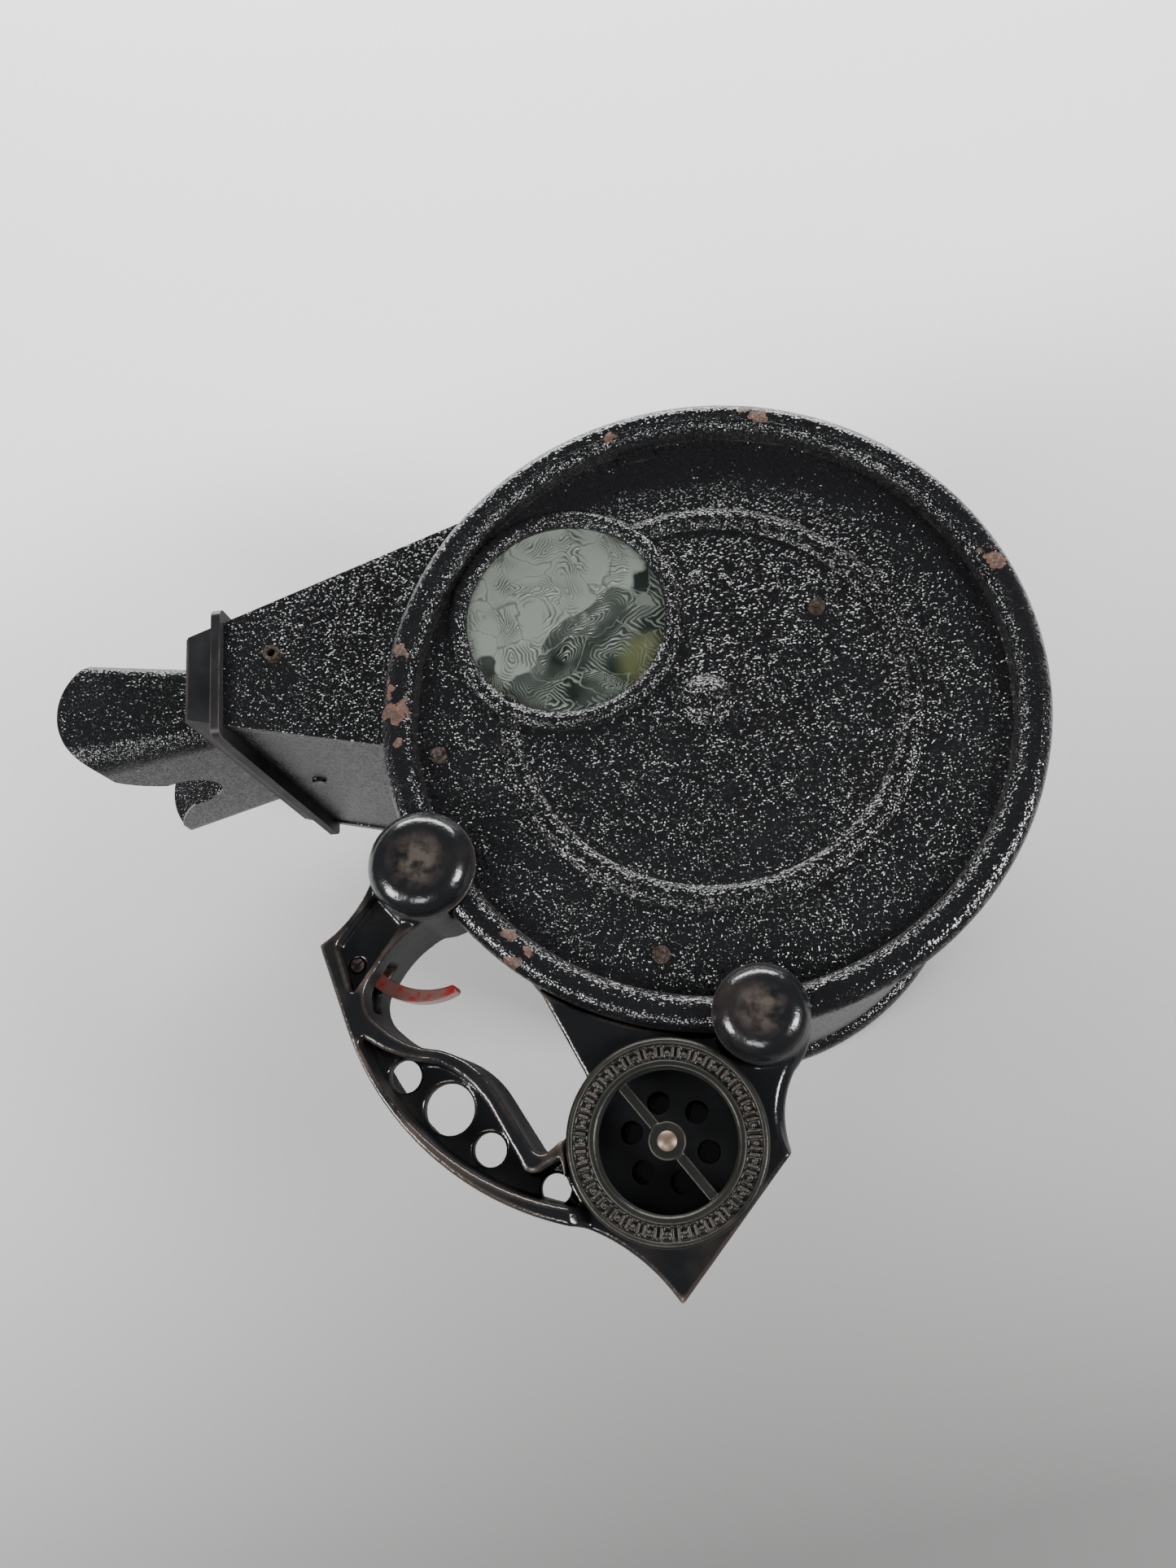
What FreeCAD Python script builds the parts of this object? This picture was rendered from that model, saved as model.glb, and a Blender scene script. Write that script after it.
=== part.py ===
import FreeCAD, Part
import math
import os

V = FreeCAD.Vector

# Drum stereoscope, lying on its far rim as it is put down. Millimetres.
# Worked out about the drum axis: +Z along the axle to the near side, +X from the eyes to the drum.
# At the end everything is moved so that the origin is under the middle of the overall box.

# Drum and its two pressed covers
rim_radius = 127.0
drum_height = 211.0
bead_radius = 5.5
rim_land = 2.0
sheet = 1.0
panel_recess = 9.0
ring_inset = 36.2
ring_width = 9.5
ring_height = 2.2
dome_radius = 10.5
dome_height = 4.0

# Light window in each cover
window_margin = 7.0
window_angle = 141.4
window_radius = 40.0
window_boss_width = 7.7
window_boss_height = 2.6
glass_thickness = 2.5
glass_lap = 2.5
clip_width = 8.0
clip_sheet = 1.0
clip_reach = 2.0
rivet_radius = 2.0
rivet_head_radius = 3.2
rivet_head_height = 1.2
clip_rivets = [(58.0, 61.5), (54.5, 11.0)]

# Bridge plate inside the near cover, its three screws and the card stop
bridge_thickness = 2.0
bridge_arm_width = 6.4
bridge_hub_radius = 14.0
bridge_screws = [(7.7, 185.7), (57.4, 35.5), (13.7, 254.3)]
screw_radius = 2.0
screw_collar_radius = 3.3
screw_collar_height = 1.6
screw_end = 2.6
stop_angle = 99.0
stop_width = 15.0
stop_tab = 5.0
stop_sheet = 1.2
stop_depth = 22.0

# Tunnel, lens box and hood on the eye side
tunnel_distance = 201.0
tunnel_mouth_top = 67.5
tunnel_mouth_bottom = 20.4
tunnel_floor_end = 0.0
tunnel_half_width = 78.5
tunnel_flare = 0.025
tunnel_lip = 5.0
mouth_ledge = 4.0
flange_thickness = 4.0
flange_lip = 5.5
flange_side_lip = 4.0
lens_box_length = 12.0
lens_box_sheet = 1.2
lens_board_thickness = 4.0
lens_spacing = 63.0
lens_radius = 14.5
lens_lip = 1.0
lens_bulge = 1.8
lens_ring_width = 2.0
lens_ring_height = 1.4
septum_thickness = 1.2
septum_length = 52.0
stud_radius = 3.4
stud_bore = 1.9
stud_height = 4.0
stud_offset = 22.5
stud_lift = 4.4
floor_rivet_offset = 18.0
floor_rivet_lift = 7.0
hood_sheet = 1.2
hood_length = 66.0
hood_root_half = 48.0
hood_front_half = 61.0
hood_root_corner = 9.0
hood_front_corner = 15.0
hood_top_corner = 5.0
hood_root_inset = 1.2
hood_front_bottom = 13.0
hood_front_top = 67.0
hood_lobe_low = 27.0
hood_lobe_high = 15.0
hood_lobe_level = 43.0
hood_notch_half = 15.5
hood_notch_shoulder = 31.0
hood_notch_depth = 50.0
hood_notch_flare = 45.0
hood_notch_lead = 13.0
hood_brow_half = 50.0
hood_brow_shoulder = 16.0
hood_brow_depth = 40.0
hood_brow_flare = 54.0
hood_brow_lead = 9.0
hood_flange_inset = 1.5
hood_screw_radius = 1.6
hood_screw_head = 3.0
hood_screw_dome = 1.5
hood_screw_place = 67.5
hood_screw_lift = 8.5
hood_screw_grip = 3.0

# Cast frame: ears on the rim, arm with the trigger, ribbed grip, base with the cup
casting_drop = 2.0
casting_depth = 37.0
ear_front_angle = 206.8
ear_front_inset = 1.8
ear_front_radius = 20.0
ear_rear_angle = 272.7
ear_rear_inset = 5.2
ear_rear_radius = 17.0
ear_thickness = 2.6
ear_margin = 0.3
ear_cap_height = 9.0
ear_cap_edge = 1.4
ear_cap_land = 0.52
ear_cap_bulge = (0.72, 0.62)
ear_cap_dish = 1.2
ear_spigot_radius = 6.0
ear_spigot_length = 2.0
rim_gap = 0.35
grip_web = 6.0
grip_web_holes = [6.0, 9.3, 6.1, 5.4]
arm_pocket = 6.0
base_drop = 6.0
base_bevel = 3.6
cup_offset = (-36.9, -39.9)
cup_wall_radius = 35.6
cup_bore = 27.0
cup_ledge = 2.5
cup_floor_thickness = 2.5
cup_floor_depth = 16.0
cup_bottom = 4.0
cup_holes = 6
cup_hole_radius = 4.2
cup_hole_circle = 14.2
cup_hole_turn = 42.0
bezel_radius = 35.0
bezel_opening = 24.2
bezel_height = 8.0
bezel_rim_outer = 2.2
bezel_rim_inner = 2.8
bezel_band_depth = 1.5
bezel_edge = 1.0
bezel_lean = 0.5
bar_angle = -54.4
bar_width = 3.6
bar_height = 3.5
bar_drop = 2.0
bar_boss_radius = 6.5
bar_boss_stand = 0.5
cup_rivet_radius = 3.4
cup_rivet_shank = 2.0
frame_screw_angles = [246.0, 258.0]
frame_screw_radius = 2.4
frame_screw_head = 4.4
frame_screw_head_height = 1.8
frame_screw_length = 13.0

# Trigger linkage: equal crossed arms, so one pull turns the reel by one card
pivot_offset = (-28.2, -33.0)
card_step = 15.0
link_arm = 9.0
pivot_radius = 2.55
running_gap = 0.05
side_gap = 0.4
trigger_hub_radius = 6.0
trigger_tail_radius = 3.4
trigger_tail_thickness = 5.6
trigger_thickness = 9.6
trigger_drop = 23.0
trigger_slot_side = 0.6
blade_room = 17.0
blade_room_low = -92.0
blade_room_high = 8.0
pivot_stand = 0.6
driver_slot = 0.8
driver_slot_angle = 35.0
rod_thickness = 3.0
rod_width = 5.0
rod_eye_radius = 3.3
rod_pin_radius = 1.55
rod_lift = 0.4
open_pivot_gap = 0.45
spring_thickness = 0.6
spring_height = 4.0
spring_length = 20.0
spring_seat = 5.5
spring_lean = 28.0
spring_grip = 4.0
spring_room = 3.0
rod_channel_side = 1.2

# Reel of cards on its axle
axle_radius = 4.5
bush_radius = 8.0
bush_length = 14.0
socket_flange_radius = 18.0
socket_flange = 2.0
socket_height = 4.0
end_gap = 0.5
hub_radius = 26.0
hub_bore = 21.0
hub_disc = 4.0
hub_drop = 17.0
slot_width = 1.6
slot_depth = 4.0
card_edge_gap = 2.6
card_far_gap = 4.5
card_near_gap = 9.5
card_thickness = 1.2
card_count = 9
card_view_angle = 100.0
ratchet_radius = 19.5
ratchet_tooth = 3.0
ratchet_thickness = 4.0
pawl_arm_gap = 1.0
pawl_arm_thickness = 3.0
pawl_arm_hub = 9.0
pawl_pivot_radius = 27.0
pawl_pivot_angle = 195.0
pawl_eye = 3.2
pawl_bite = 1.0
pawl_width = 3.0
pawl_pin_radius = 1.5
pawl_tooth_angle = 225.0
pawl_tooth_gap = 1.7
pawl_spring_lead = 4.0
pawl_post_radius = 31.0
pawl_post_angle = 238.0
collar_height = 1.2
collar_radius = 7.0

# Heights and radii that follow from the driving sizes
mid_height = drum_height / 2
wall_radius = rim_radius - bead_radius
well_radius = wall_radius - rim_land - bead_radius
ring_radius = well_radius - ring_inset
window_distance = well_radius - window_radius - window_margin
near_panel = drum_height - panel_recess
near_inside = near_panel - sheet
far_inside = drum_height - near_inside
tunnel_x = -tunnel_distance
flange_x = tunnel_x - flange_thickness
box_x = flange_x - lens_box_length
casting_top = drum_height - casting_drop
casting_floor = casting_top - casting_depth
base_top = casting_top - base_drop
trigger_floor = drum_height - trigger_drop
trigger_tail_top = trigger_floor + trigger_tail_thickness
rod_floor = trigger_tail_top + rod_lift
rod_top = rod_floor + rod_thickness
hub_floor = far_inside + socket_height + end_gap
hub_top = near_inside - hub_drop
pawl_arm_floor = hub_top + ratchet_thickness + pawl_arm_gap
pawl_arm_top = pawl_arm_floor + pawl_arm_thickness
card_floor = far_inside + card_far_gap
card_top = near_inside - card_near_gap
card_inner = hub_radius - slot_depth + side_gap
card_outer = well_radius - card_edge_gap

nodes = {}


def polar(radius, degrees, centre=(0.0, 0.0)):
    turn = math.radians(degrees)
    return (centre[0] + radius * math.cos(turn), centre[1] + radius * math.sin(turn))


def shifted(point, offset):
    return (point[0] + offset[0], point[1] + offset[1])


def flat(point):
    return V(point[0], point[1], 0)


def upright(point):
    return V(point[0], 0, point[1])


def wire(steps, place=flat):
    """Closed wire: a point is a straight step, a pair of points is an arc through the first."""
    here = steps[0]
    edges = []
    for step in steps[1:] + steps[:1]:
        if isinstance(step[0], tuple):
            edges.append(Part.Arc(place(here), place(step[0]), place(step[1])).toShape())
            here = step[1]
        else:
            edges.append(Part.makeLine(place(here), place(step)))
            here = step
    return Part.Wire(edges)


def prism(steps, low, high):
    solid = Part.Face(wire(steps)).extrude(V(0, 0, high - low))
    return solid.translated(V(0, 0, low))


def cylinder(radius, low, high, centre=(0.0, 0.0)):
    return Part.makeCylinder(radius, high - low, V(centre[0], centre[1], low))


def tube(outer, inner, low, high, centre=(0.0, 0.0)):
    return cylinder(outer, low, high, centre).cut(cylinder(inner, low - 1, high + 1, centre))


def turned(steps, centre=(0.0, 0.0)):
    """Solid of revolution about a vertical axis, from a radius and height outline."""
    solid = Part.Face(wire(steps, upright)).revolve(V(0, 0, 0), V(0, 0, 1), 360)
    return solid.translated(flat(centre))


def bar(start, end, width, low, high):
    """Flat bar with half round ends between two points."""
    along = math.atan2(end[1] - start[1], end[0] - start[0])
    side = (-math.sin(along) * width / 2, math.cos(along) * width / 2)
    tip = (math.cos(along) * width / 2, math.sin(along) * width / 2)
    back = (-tip[0], -tip[1])
    other = (-side[0], -side[1])
    steps = [
        shifted(start, side),
        (shifted(start, back), shifted(start, other)),
        shifted(end, other),
        (shifted(end, tip), shifted(end, side)),
    ]
    return prism(steps, low, high)


def block(x_low, x_high, y_low, y_high, low, high):
    return Part.makeBox(x_high - x_low, y_high - y_low, high - low, V(x_low, y_low, low))


def flipped(shape):
    """The same piece on the far side of the drum's middle plane."""
    return shape.mirror(V(0, 0, mid_height), V(0, 0, 1))


def keep(name, shape):
    nodes[name] = shape


def crown(radius, height, base=0.0):
    """Point half way up a ball shaped cap, for an arc from its edge to its top."""
    ball = (radius ** 2 + height ** 2) / (2 * height)
    return (radius / 2, base + height - ball + math.copysign(math.sqrt(ball ** 2 - radius ** 2 / 4), height))


window_centre = polar(window_distance, window_angle)
rivet_places = [polar(distance, angle, window_centre) for distance, angle in clip_rivets]
screw_places = [polar(well_radius - inset, angle) for inset, angle in bridge_screws]
ear_front = polar(rim_radius - ear_front_inset, ear_front_angle)
ear_rear = polar(rim_radius - ear_rear_inset, ear_rear_angle)
cup = shifted(ear_rear, cup_offset)
pivot = shifted(ear_front, pivot_offset)


def from_ear(x, y):
    return shifted(ear_front, (x, y))


def from_cup(x, y):
    return shifted(cup, (x, y))


def from_rear(x, y):
    return shifted(ear_rear, (x, y))


def from_grip(x, y):
    return ((ear_front[0] + cup[0]) / 2 + x, (ear_front[1] + cup[1]) / 2 + y)


# Linkage pins at rest: the arms swing half a step either side of square to the pivot line
line_angle = math.degrees(math.atan2(-pivot[1], -pivot[0]))
trigger_pin = polar(link_arm, line_angle + 90 + card_step / 2, pivot)
arm_pin = polar(link_arm, line_angle - 90 - card_step / 2)
pawl_pivot = polar(pawl_pivot_radius, pawl_pivot_angle)
pawl_post = polar(pawl_post_radius, pawl_post_angle)
hood_tip = box_x - hood_sheet - hood_length
bottom_point = from_cup(-0.4, -53.1)


def cover():
    """Near cover: rolled rim, sunk panel, pressed ring, axle dome and window boss."""
    half_ring = ring_width / 2
    slant = bead_radius * math.sqrt(0.5)
    thin = bead_radius - sheet
    thin_slant = thin * math.sqrt(0.5)
    bead_level = drum_height - bead_radius
    land_in = wall_radius - rim_land
    profile = [
        (0.0, near_panel + dome_height),
        (crown(dome_radius, dome_height, near_panel), (dome_radius, near_panel)),
        (ring_radius - half_ring, near_panel),
        ((ring_radius, near_panel + ring_height), (ring_radius + half_ring, near_panel)),
        (well_radius, near_panel),
        (well_radius, bead_level),
        ((land_in - slant, bead_level + slant), (land_in, drum_height)),
        (wall_radius, drum_height),
        ((rim_radius, bead_level), (wall_radius, bead_level - bead_radius)),
        (wall_radius, bead_level - thin),
        ((rim_radius - sheet, bead_level), (wall_radius, bead_level + thin)),
        (land_in, bead_level + thin),
        ((land_in - thin_slant, bead_level + thin_slant), (well_radius + sheet, bead_level)),
        (well_radius + sheet, near_inside),
        (ring_radius + half_ring, near_inside),
        ((ring_radius, near_inside + ring_height), (ring_radius - half_ring, near_inside)),
        (dome_radius, near_inside),
        (crown(dome_radius, dome_height, near_inside), (0.0, near_inside + dome_height)),
    ]
    shell = turned(profile)
    boss_outer = window_radius + window_boss_width
    boss = turned([
        (window_radius, near_panel - sheet / 2),
        (window_radius, near_panel),
        ((window_radius + window_boss_width / 2, near_panel + window_boss_height), (boss_outer, near_panel)),
        (boss_outer, near_panel - sheet / 2),
    ], window_centre)
    shell = shell.fuse(boss.common(cylinder(well_radius + sheet / 2, 0, drum_height)))
    shell = shell.cut(cylinder(window_radius, 0, drum_height, window_centre))
    for place in rivet_places:
        shell = shell.cut(cylinder(rivet_radius, 0, drum_height, place))
    return shell.removeSplitter()


def round_head(radius, height, base):
    """Low ball shaped head; a height below nothing points it down."""
    return turned([
        (0.0, base),
        (radius, base),
        (crown(radius, height, base), (0.0, base + height)),
    ])


def glass():
    return cylinder(window_radius + glass_lap, near_inside - glass_thickness, near_inside, window_centre)


def glass_room():
    """Space that the pane keeps clear under the near cover."""
    return cylinder(window_radius + glass_lap + side_gap, near_inside - glass_thickness,
                    near_inside + 1, window_centre)


def glass_clip(heel):
    """Spring clip riveted beside the window, with a tongue under the edge of the glass."""
    toward = math.degrees(math.atan2(heel[1] - window_centre[1], heel[0] - window_centre[0]))
    toe = polar(window_radius + glass_lap - clip_reach, toward, window_centre)
    low = near_inside - glass_thickness - clip_sheet
    strip = bar(toe, heel, clip_width, low, near_inside)
    return strip.cut(glass_room()).cut(cylinder(rivet_radius, 0, drum_height, heel))


def clip_rivet(place):
    low = near_inside - glass_thickness - clip_sheet
    shank = cylinder(rivet_radius, low, near_panel, place)
    head = round_head(rivet_head_radius, rivet_head_height, near_panel).translated(flat(place))
    return shank.fuse(head).removeSplitter()


# Covers, windows and their clips, the same on both sides
near_cover = cover()
far_cover = flipped(near_cover)
for place in screw_places:
    near_cover = near_cover.cut(cylinder(screw_radius, 0, drum_height, place))
stop_bend = well_radius - stop_tab
stop_half = stop_width / 2
stop_slot = block(stop_bend, stop_bend + stop_sheet, -stop_half, stop_half, near_inside - 1, near_panel + 1)
stop_slot.rotate(V(0, 0, 0), V(0, 0, 1), stop_angle)
keep("near_cover", near_cover.cut(stop_slot))
keep("far_cover", far_cover)
clips = Part.makeCompound([glass_clip(place) for place in rivet_places])
rivets = Part.makeCompound([clip_rivet(place) for place in rivet_places])
keep("near_glass", glass())
keep("far_glass", flipped(glass()))
keep("glass_clips", Part.makeCompound([clips, flipped(clips)]))
keep("clip_rivets", Part.makeCompound([rivets, flipped(rivets)]))

# Card stop: a strip bent over the near panel, with a finger that holds the front card's edge
stop_top = near_panel + stop_sheet
stop_end = card_outer + side_gap
tab = block(stop_bend, well_radius - side_gap, -stop_half, stop_half, near_panel, stop_top)
neck = block(stop_bend, stop_bend + stop_sheet, -stop_half, stop_half, near_inside, near_panel)
foot = block(stop_bend, stop_end + stop_sheet, -stop_half, stop_half, near_inside - stop_sheet, near_inside)
drop = block(stop_end, stop_end + stop_sheet, -stop_half, stop_half, near_inside - stop_depth, near_inside)
card_stop = tab.fuse([neck, foot, drop]).removeSplitter()
card_stop.rotate(V(0, 0, 0), V(0, 0, 1), stop_angle)
keep("card_stop", card_stop)

# Tunnel lines: the roof meets the drum wall at a tangent, the floor runs straight into it
roof_reach = wall_radius + sheet
roof_slope = math.tan(
    math.atan2(-tunnel_mouth_top, tunnel_distance)
    + math.asin(roof_reach / math.hypot(tunnel_distance, tunnel_mouth_top))
)
floor_slope = (tunnel_floor_end - tunnel_mouth_bottom) / (tunnel_distance - wall_radius)
roof_end = -roof_reach * math.sin(math.atan(roof_slope))


def roof_at(x, inset=0.0):
    return tunnel_mouth_top + roof_slope * (x - tunnel_x) - inset * math.hypot(1, roof_slope)


def floor_at(x, inset=0.0):
    return tunnel_mouth_bottom + floor_slope * (x - tunnel_x) + inset * math.hypot(1, floor_slope)


def half_width_at(x, inset=0.0):
    return tunnel_half_width + tunnel_flare * (x - tunnel_x) - inset


def duct(x_start, x_end, inset):
    """Tapered four sided solid between two stations, its faces moved in by the inset."""
    sections = []
    for x in (x_start, x_end):
        half = half_width_at(x, inset)
        corners = [
            V(x, floor_at(x, inset), mid_height - half),
            V(x, roof_at(x, inset), mid_height - half),
            V(x, roof_at(x, inset), mid_height + half),
            V(x, floor_at(x, inset), mid_height + half),
        ]
        sections.append(Part.makePolygon(corners + corners[:1]))
    return Part.makeLoft(sections, True, True)


def below_floor(x_start, x_end, depth, side):
    """Slab over the tunnel floor: depth in from the outer face, side in from the outer walls."""
    sections = []
    for x in (x_start, x_end):
        half = half_width_at(x, side)
        corners = [
            V(x, floor_at(x, -sheet), mid_height - half),
            V(x, floor_at(x, depth), mid_height - half),
            V(x, floor_at(x, depth), mid_height + half),
            V(x, floor_at(x, -sheet), mid_height + half),
        ]
        sections.append(Part.makePolygon(corners + corners[:1]))
    return Part.makeLoft(sections, True, True)


drum_body = cylinder(wall_radius, 0, drum_height)
tunnel = duct(tunnel_x, roof_end, 0).cut(duct(tunnel_x - 1, roof_end + 1, sheet))
tunnel = tunnel.cut(below_floor(tunnel_x - 1, roof_end + 1, sheet, tunnel_lip)).cut(drum_body)
floor_plate = below_floor(tunnel_x, roof_end, 2 * sheet, sheet + running_gap)
floor_plate = floor_plate.cut(below_floor(tunnel_x - 1, roof_end + 1, sheet, -1)).cut(drum_body)
stud_x = tunnel_x + stud_offset
stud_place = (stud_x, (roof_at(stud_x) + floor_at(stud_x)) / 2 + stud_lift)
stud_seat = mid_height + half_width_at(stud_place[0], sheet)
stud_hole = cylinder(stud_bore, 0, drum_height, stud_place)
keep("tunnel_body", tunnel.cut(stud_hole))
rivet_x = tunnel_x + floor_rivet_offset
floor_rivet_place = V(rivet_x, floor_at(rivet_x, sheet), mid_height + floor_rivet_lift)
up = V(0, 1, 0)
floor_shank = Part.makeCylinder(rivet_radius, 4 * sheet, floor_rivet_place - up * sheet, up)
floor_plate = floor_plate.cut(floor_shank)
keep("tunnel_floor", floor_plate)
floor_head = Part.makeCylinder(rivet_head_radius, 3 * sheet, floor_rivet_place - up * (2 * sheet), up)
above_plate = below_floor(tunnel_x, roof_end, 9 * sheet, 0).cut(below_floor(tunnel_x, roof_end, sheet, 0))
floor_head = floor_head.cut(above_plate)
keep("floor_rivet", floor_head.fuse(floor_shank).removeSplitter())

# Drum wall: open to the tunnel, slotted for the connecting rod, drilled for the frame screws
frame_screw_level = (casting_floor + base_top) / 2


def radial(radius, start, end, degrees):
    """Cylinder pointing straight out from the drum axis at the frame screws' level."""
    place = polar(start, degrees)
    out = polar(1, degrees)
    return Part.makeCylinder(radius, end - start, V(place[0], place[1], frame_screw_level), flat(out))


frame_screws = []
for angle in frame_screw_angles:
    inside = wall_radius - sheet
    shank = radial(frame_screw_radius, inside - frame_screw_head_height, inside + frame_screw_length, angle)
    head = radial(frame_screw_head, inside - frame_screw_head_height, inside + sheet, angle)
    head = head.common(cylinder(inside, 0, drum_height))
    frame_screws.append(head.fuse(shank).removeSplitter())
keep("frame_screws", Part.makeCompound(frame_screws))
rod_room = rod_width + 2 * rod_channel_side
rod_way = bar(trigger_pin, arm_pin, rod_room, rod_floor - side_gap, rod_top + side_gap)
wall = tube(wall_radius, wall_radius - sheet, sheet, drum_height - sheet)
wall = wall.cut(duct(tunnel_x, roof_end, sheet + mouth_ledge))
wall = wall.cut(rod_way)
for screw in frame_screws:
    wall = wall.cut(screw)
keep("drum_wall", wall)

# Flange between tunnel and lens box, lens box, lens board with lenses, septum
half = half_width_at(tunnel_x) + flange_side_lip
flange = block(flange_x, tunnel_x, floor_at(tunnel_x) - flange_lip, roof_at(tunnel_x) + flange_lip,
               mid_height - half, mid_height + half)
long_edges = [e for e in flange.Edges if abs(e.Vertexes[0].X - e.Vertexes[1].X) > 1]
flange = flange.makeFillet(flange_side_lip, long_edges)
keep("tunnel_flange", flange.cut(duct(flange_x - 1, tunnel_x + 1, lens_box_sheet)))
keep("lens_box", duct(box_x, flange_x, 0).cut(duct(box_x - 1, flange_x + 1, lens_box_sheet)))
lens_level = (roof_at(box_x) + floor_at(box_x)) / 2
board_back = box_x + lens_board_thickness
lens_edge = lens_board_thickness - lens_lip


def facing_eyes(shape, x, y, z):
    """Turn a piece made about the vertical so that its axis runs along the line of sight."""
    piece = shape.copy()
    piece.rotate(V(0, 0, 0), V(0, 1, 0), 90)
    return piece.translated(V(x, y, z))


def lens():
    top = lens_edge / 2
    clear = lens_radius - lens_lip
    return turned([
        (0.0, top + lens_bulge),
        (crown(clear, lens_bulge, top), (clear, top)),
        (lens_radius, top),
        (lens_radius, -top),
        (clear, -top),
        (crown(clear, -lens_bulge, -top), (0.0, -top - lens_bulge)),
    ])


board = duct(box_x, board_back, lens_box_sheet)
rings = []
for side, name in ((-1, "left_lens"), (1, "right_lens")):
    z = mid_height + side * lens_spacing / 2
    seat = cylinder(lens_radius, lens_lip, lens_board_thickness + 1)
    sight = cylinder(lens_radius - lens_lip, -1, lens_board_thickness + 1)
    board = board.cut(facing_eyes(seat.fuse(sight), box_x, lens_level, z))
    keep(name, facing_eyes(lens(), box_x + lens_lip + lens_edge / 2, lens_level, z))
    ring = tube(lens_radius + lens_ring_width, lens_radius - lens_lip, 0, lens_ring_height)
    rings.append(facing_eyes(ring, board_back, lens_level, z))
keep("lens_rings", Part.makeCompound(rings))
septum_end = board_back + septum_length
septum = duct(board_back, septum_end, lens_box_sheet)
slab = block(board_back, septum_end, -rim_radius, rim_radius,
             mid_height - septum_thickness / 2, mid_height + septum_thickness / 2)
keep("septum", septum.common(slab).cut(nodes["tunnel_floor"]))

# Tubular studs on the tunnel's cheeks
stud = tube(stud_radius, stud_bore, stud_seat, stud_seat + sheet + stud_height, stud_place)
stud = stud.cut(duct(tunnel_x, roof_end, 0))
keep("tunnel_studs", Part.makeCompound([stud, flipped(stud)]))

# Hood: one sheet shaped to the face, on a flange that closes the front of the lens box
hood_x = box_x - hood_sheet
hood_root_low = floor_at(box_x) + hood_root_inset
hood_root_high = roof_at(box_x) - hood_root_inset


def hood_section(x, low, high, half, low_corner, high_corner):
    """Rounded four sided wire across the line of sight."""
    corners = (
        (low, 1, -1, low_corner),
        (high, -1, -1, high_corner),
        (high, -1, 1, high_corner),
        (low, 1, 1, low_corner),
    )
    steps = []
    for index, (level, inward, side, corner) in enumerate(corners):
        lean = corner * (1 - math.sqrt(0.5))
        on_side = (level + inward * corner, side * half)
        on_face = (level, side * (half - corner))
        middle = (level + inward * lean, side * (half - lean))
        first, last = (on_face, on_side) if index % 2 == 0 else (on_side, on_face)
        steps.append(first)
        steps.append((middle, last))
    return wire(steps, lambda p: V(x, p[0], mid_height + p[1]))


def hood_solid(inset, x_near, x_far):
    """Loft from root to front, its faces moved in by the inset."""
    sections = []
    for x in (x_near, x_far):
        part = (hood_x - x) / hood_length
        low = hood_root_low + part * (hood_front_bottom - hood_root_low) + inset
        high = hood_root_high + part * (hood_front_top - hood_root_high) - inset
        half = hood_root_half + part * (hood_front_half - hood_root_half) - inset
        corner = hood_root_corner + part * (hood_front_corner - hood_root_corner) - inset
        sections.append(hood_section(x, low, high, half, corner, hood_top_corner - inset))
    return Part.makeLoft(sections, True, True)


hood_hollow = hood_solid(hood_sheet, hood_x + 3, hood_tip - 3)
hood_shell = hood_solid(0, hood_x, hood_tip)
hood_split = (hood_front_bottom + hood_front_top) / 2
profile = [
    (hood_x + 1, hood_front_bottom - 9),
    (hood_tip + hood_lobe_low, hood_front_bottom - 9),
    (hood_tip + hood_lobe_low, hood_front_bottom),
    ((hood_tip, hood_lobe_level), (hood_tip + hood_lobe_high, hood_front_top)),
    (hood_tip + hood_lobe_high, hood_front_top + 9),
    (hood_x + 1, hood_front_top + 9),
]
hood_shell = hood_shell.common(prism(profile, 0, drum_height))


def hood_cutout(half, shoulder, depth, flare, lead, low, high):
    """Rounded notch with a flared mouth running back from the front edge, for the nose or the brow."""
    bend = (hood_tip + (shoulder + lead) / 2, half + (flare - half) / 3)
    steps = [
        (hood_tip - lead, -flare),
        (hood_tip + lead, -flare),
        ((bend[0], -bend[1]), (hood_tip + shoulder, -half)),
        ((hood_tip + depth, 0.0), (hood_tip + shoulder, half)),
        (bend, (hood_tip + lead, flare)),
        (hood_tip - lead, flare),
    ]
    face = Part.Face(wire(steps, lambda p: V(p[0], low, mid_height + p[1])))
    return face.extrude(V(0, high - low, 0))


nose = hood_cutout(hood_notch_half, hood_notch_shoulder, hood_notch_depth, hood_notch_flare, hood_notch_lead,
                   hood_front_bottom - 1, hood_split)
brow = hood_cutout(hood_brow_half, hood_brow_shoulder, hood_brow_depth, hood_brow_flare, hood_brow_lead,
                   hood_split, hood_front_top + 1)
hood = hood_shell.cut(nose).cut(brow).cut(hood_hollow)
half = half_width_at(box_x) - hood_flange_inset
hood_flange = block(hood_x, box_x, floor_at(box_x), roof_at(box_x), mid_height - half, mid_height + half)
hood_flange = hood_flange.cut(hood_hollow)
hood_screws = []
for side in (-1, 1):
    for lift in (-1, 1):
        z = mid_height + side * hood_screw_place
        y = lens_level + lift * hood_screw_lift
        shank = cylinder(hood_screw_radius, 0, hood_sheet + hood_screw_grip)
        head = round_head(hood_screw_head, -hood_screw_dome, 0.0)
        hood_flange = hood_flange.cut(facing_eyes(shank, hood_x, y, z))
        board = board.cut(facing_eyes(shank, hood_x, y, z))
        hood_screws.append(facing_eyes(shank.fuse(head).removeSplitter(), hood_x, y, z))
keep("hood", hood.removeSplitter())
keep("hood_flange", hood_flange)
keep("lens_board", board)
keep("hood_screws", Part.makeCompound(hood_screws))


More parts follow.
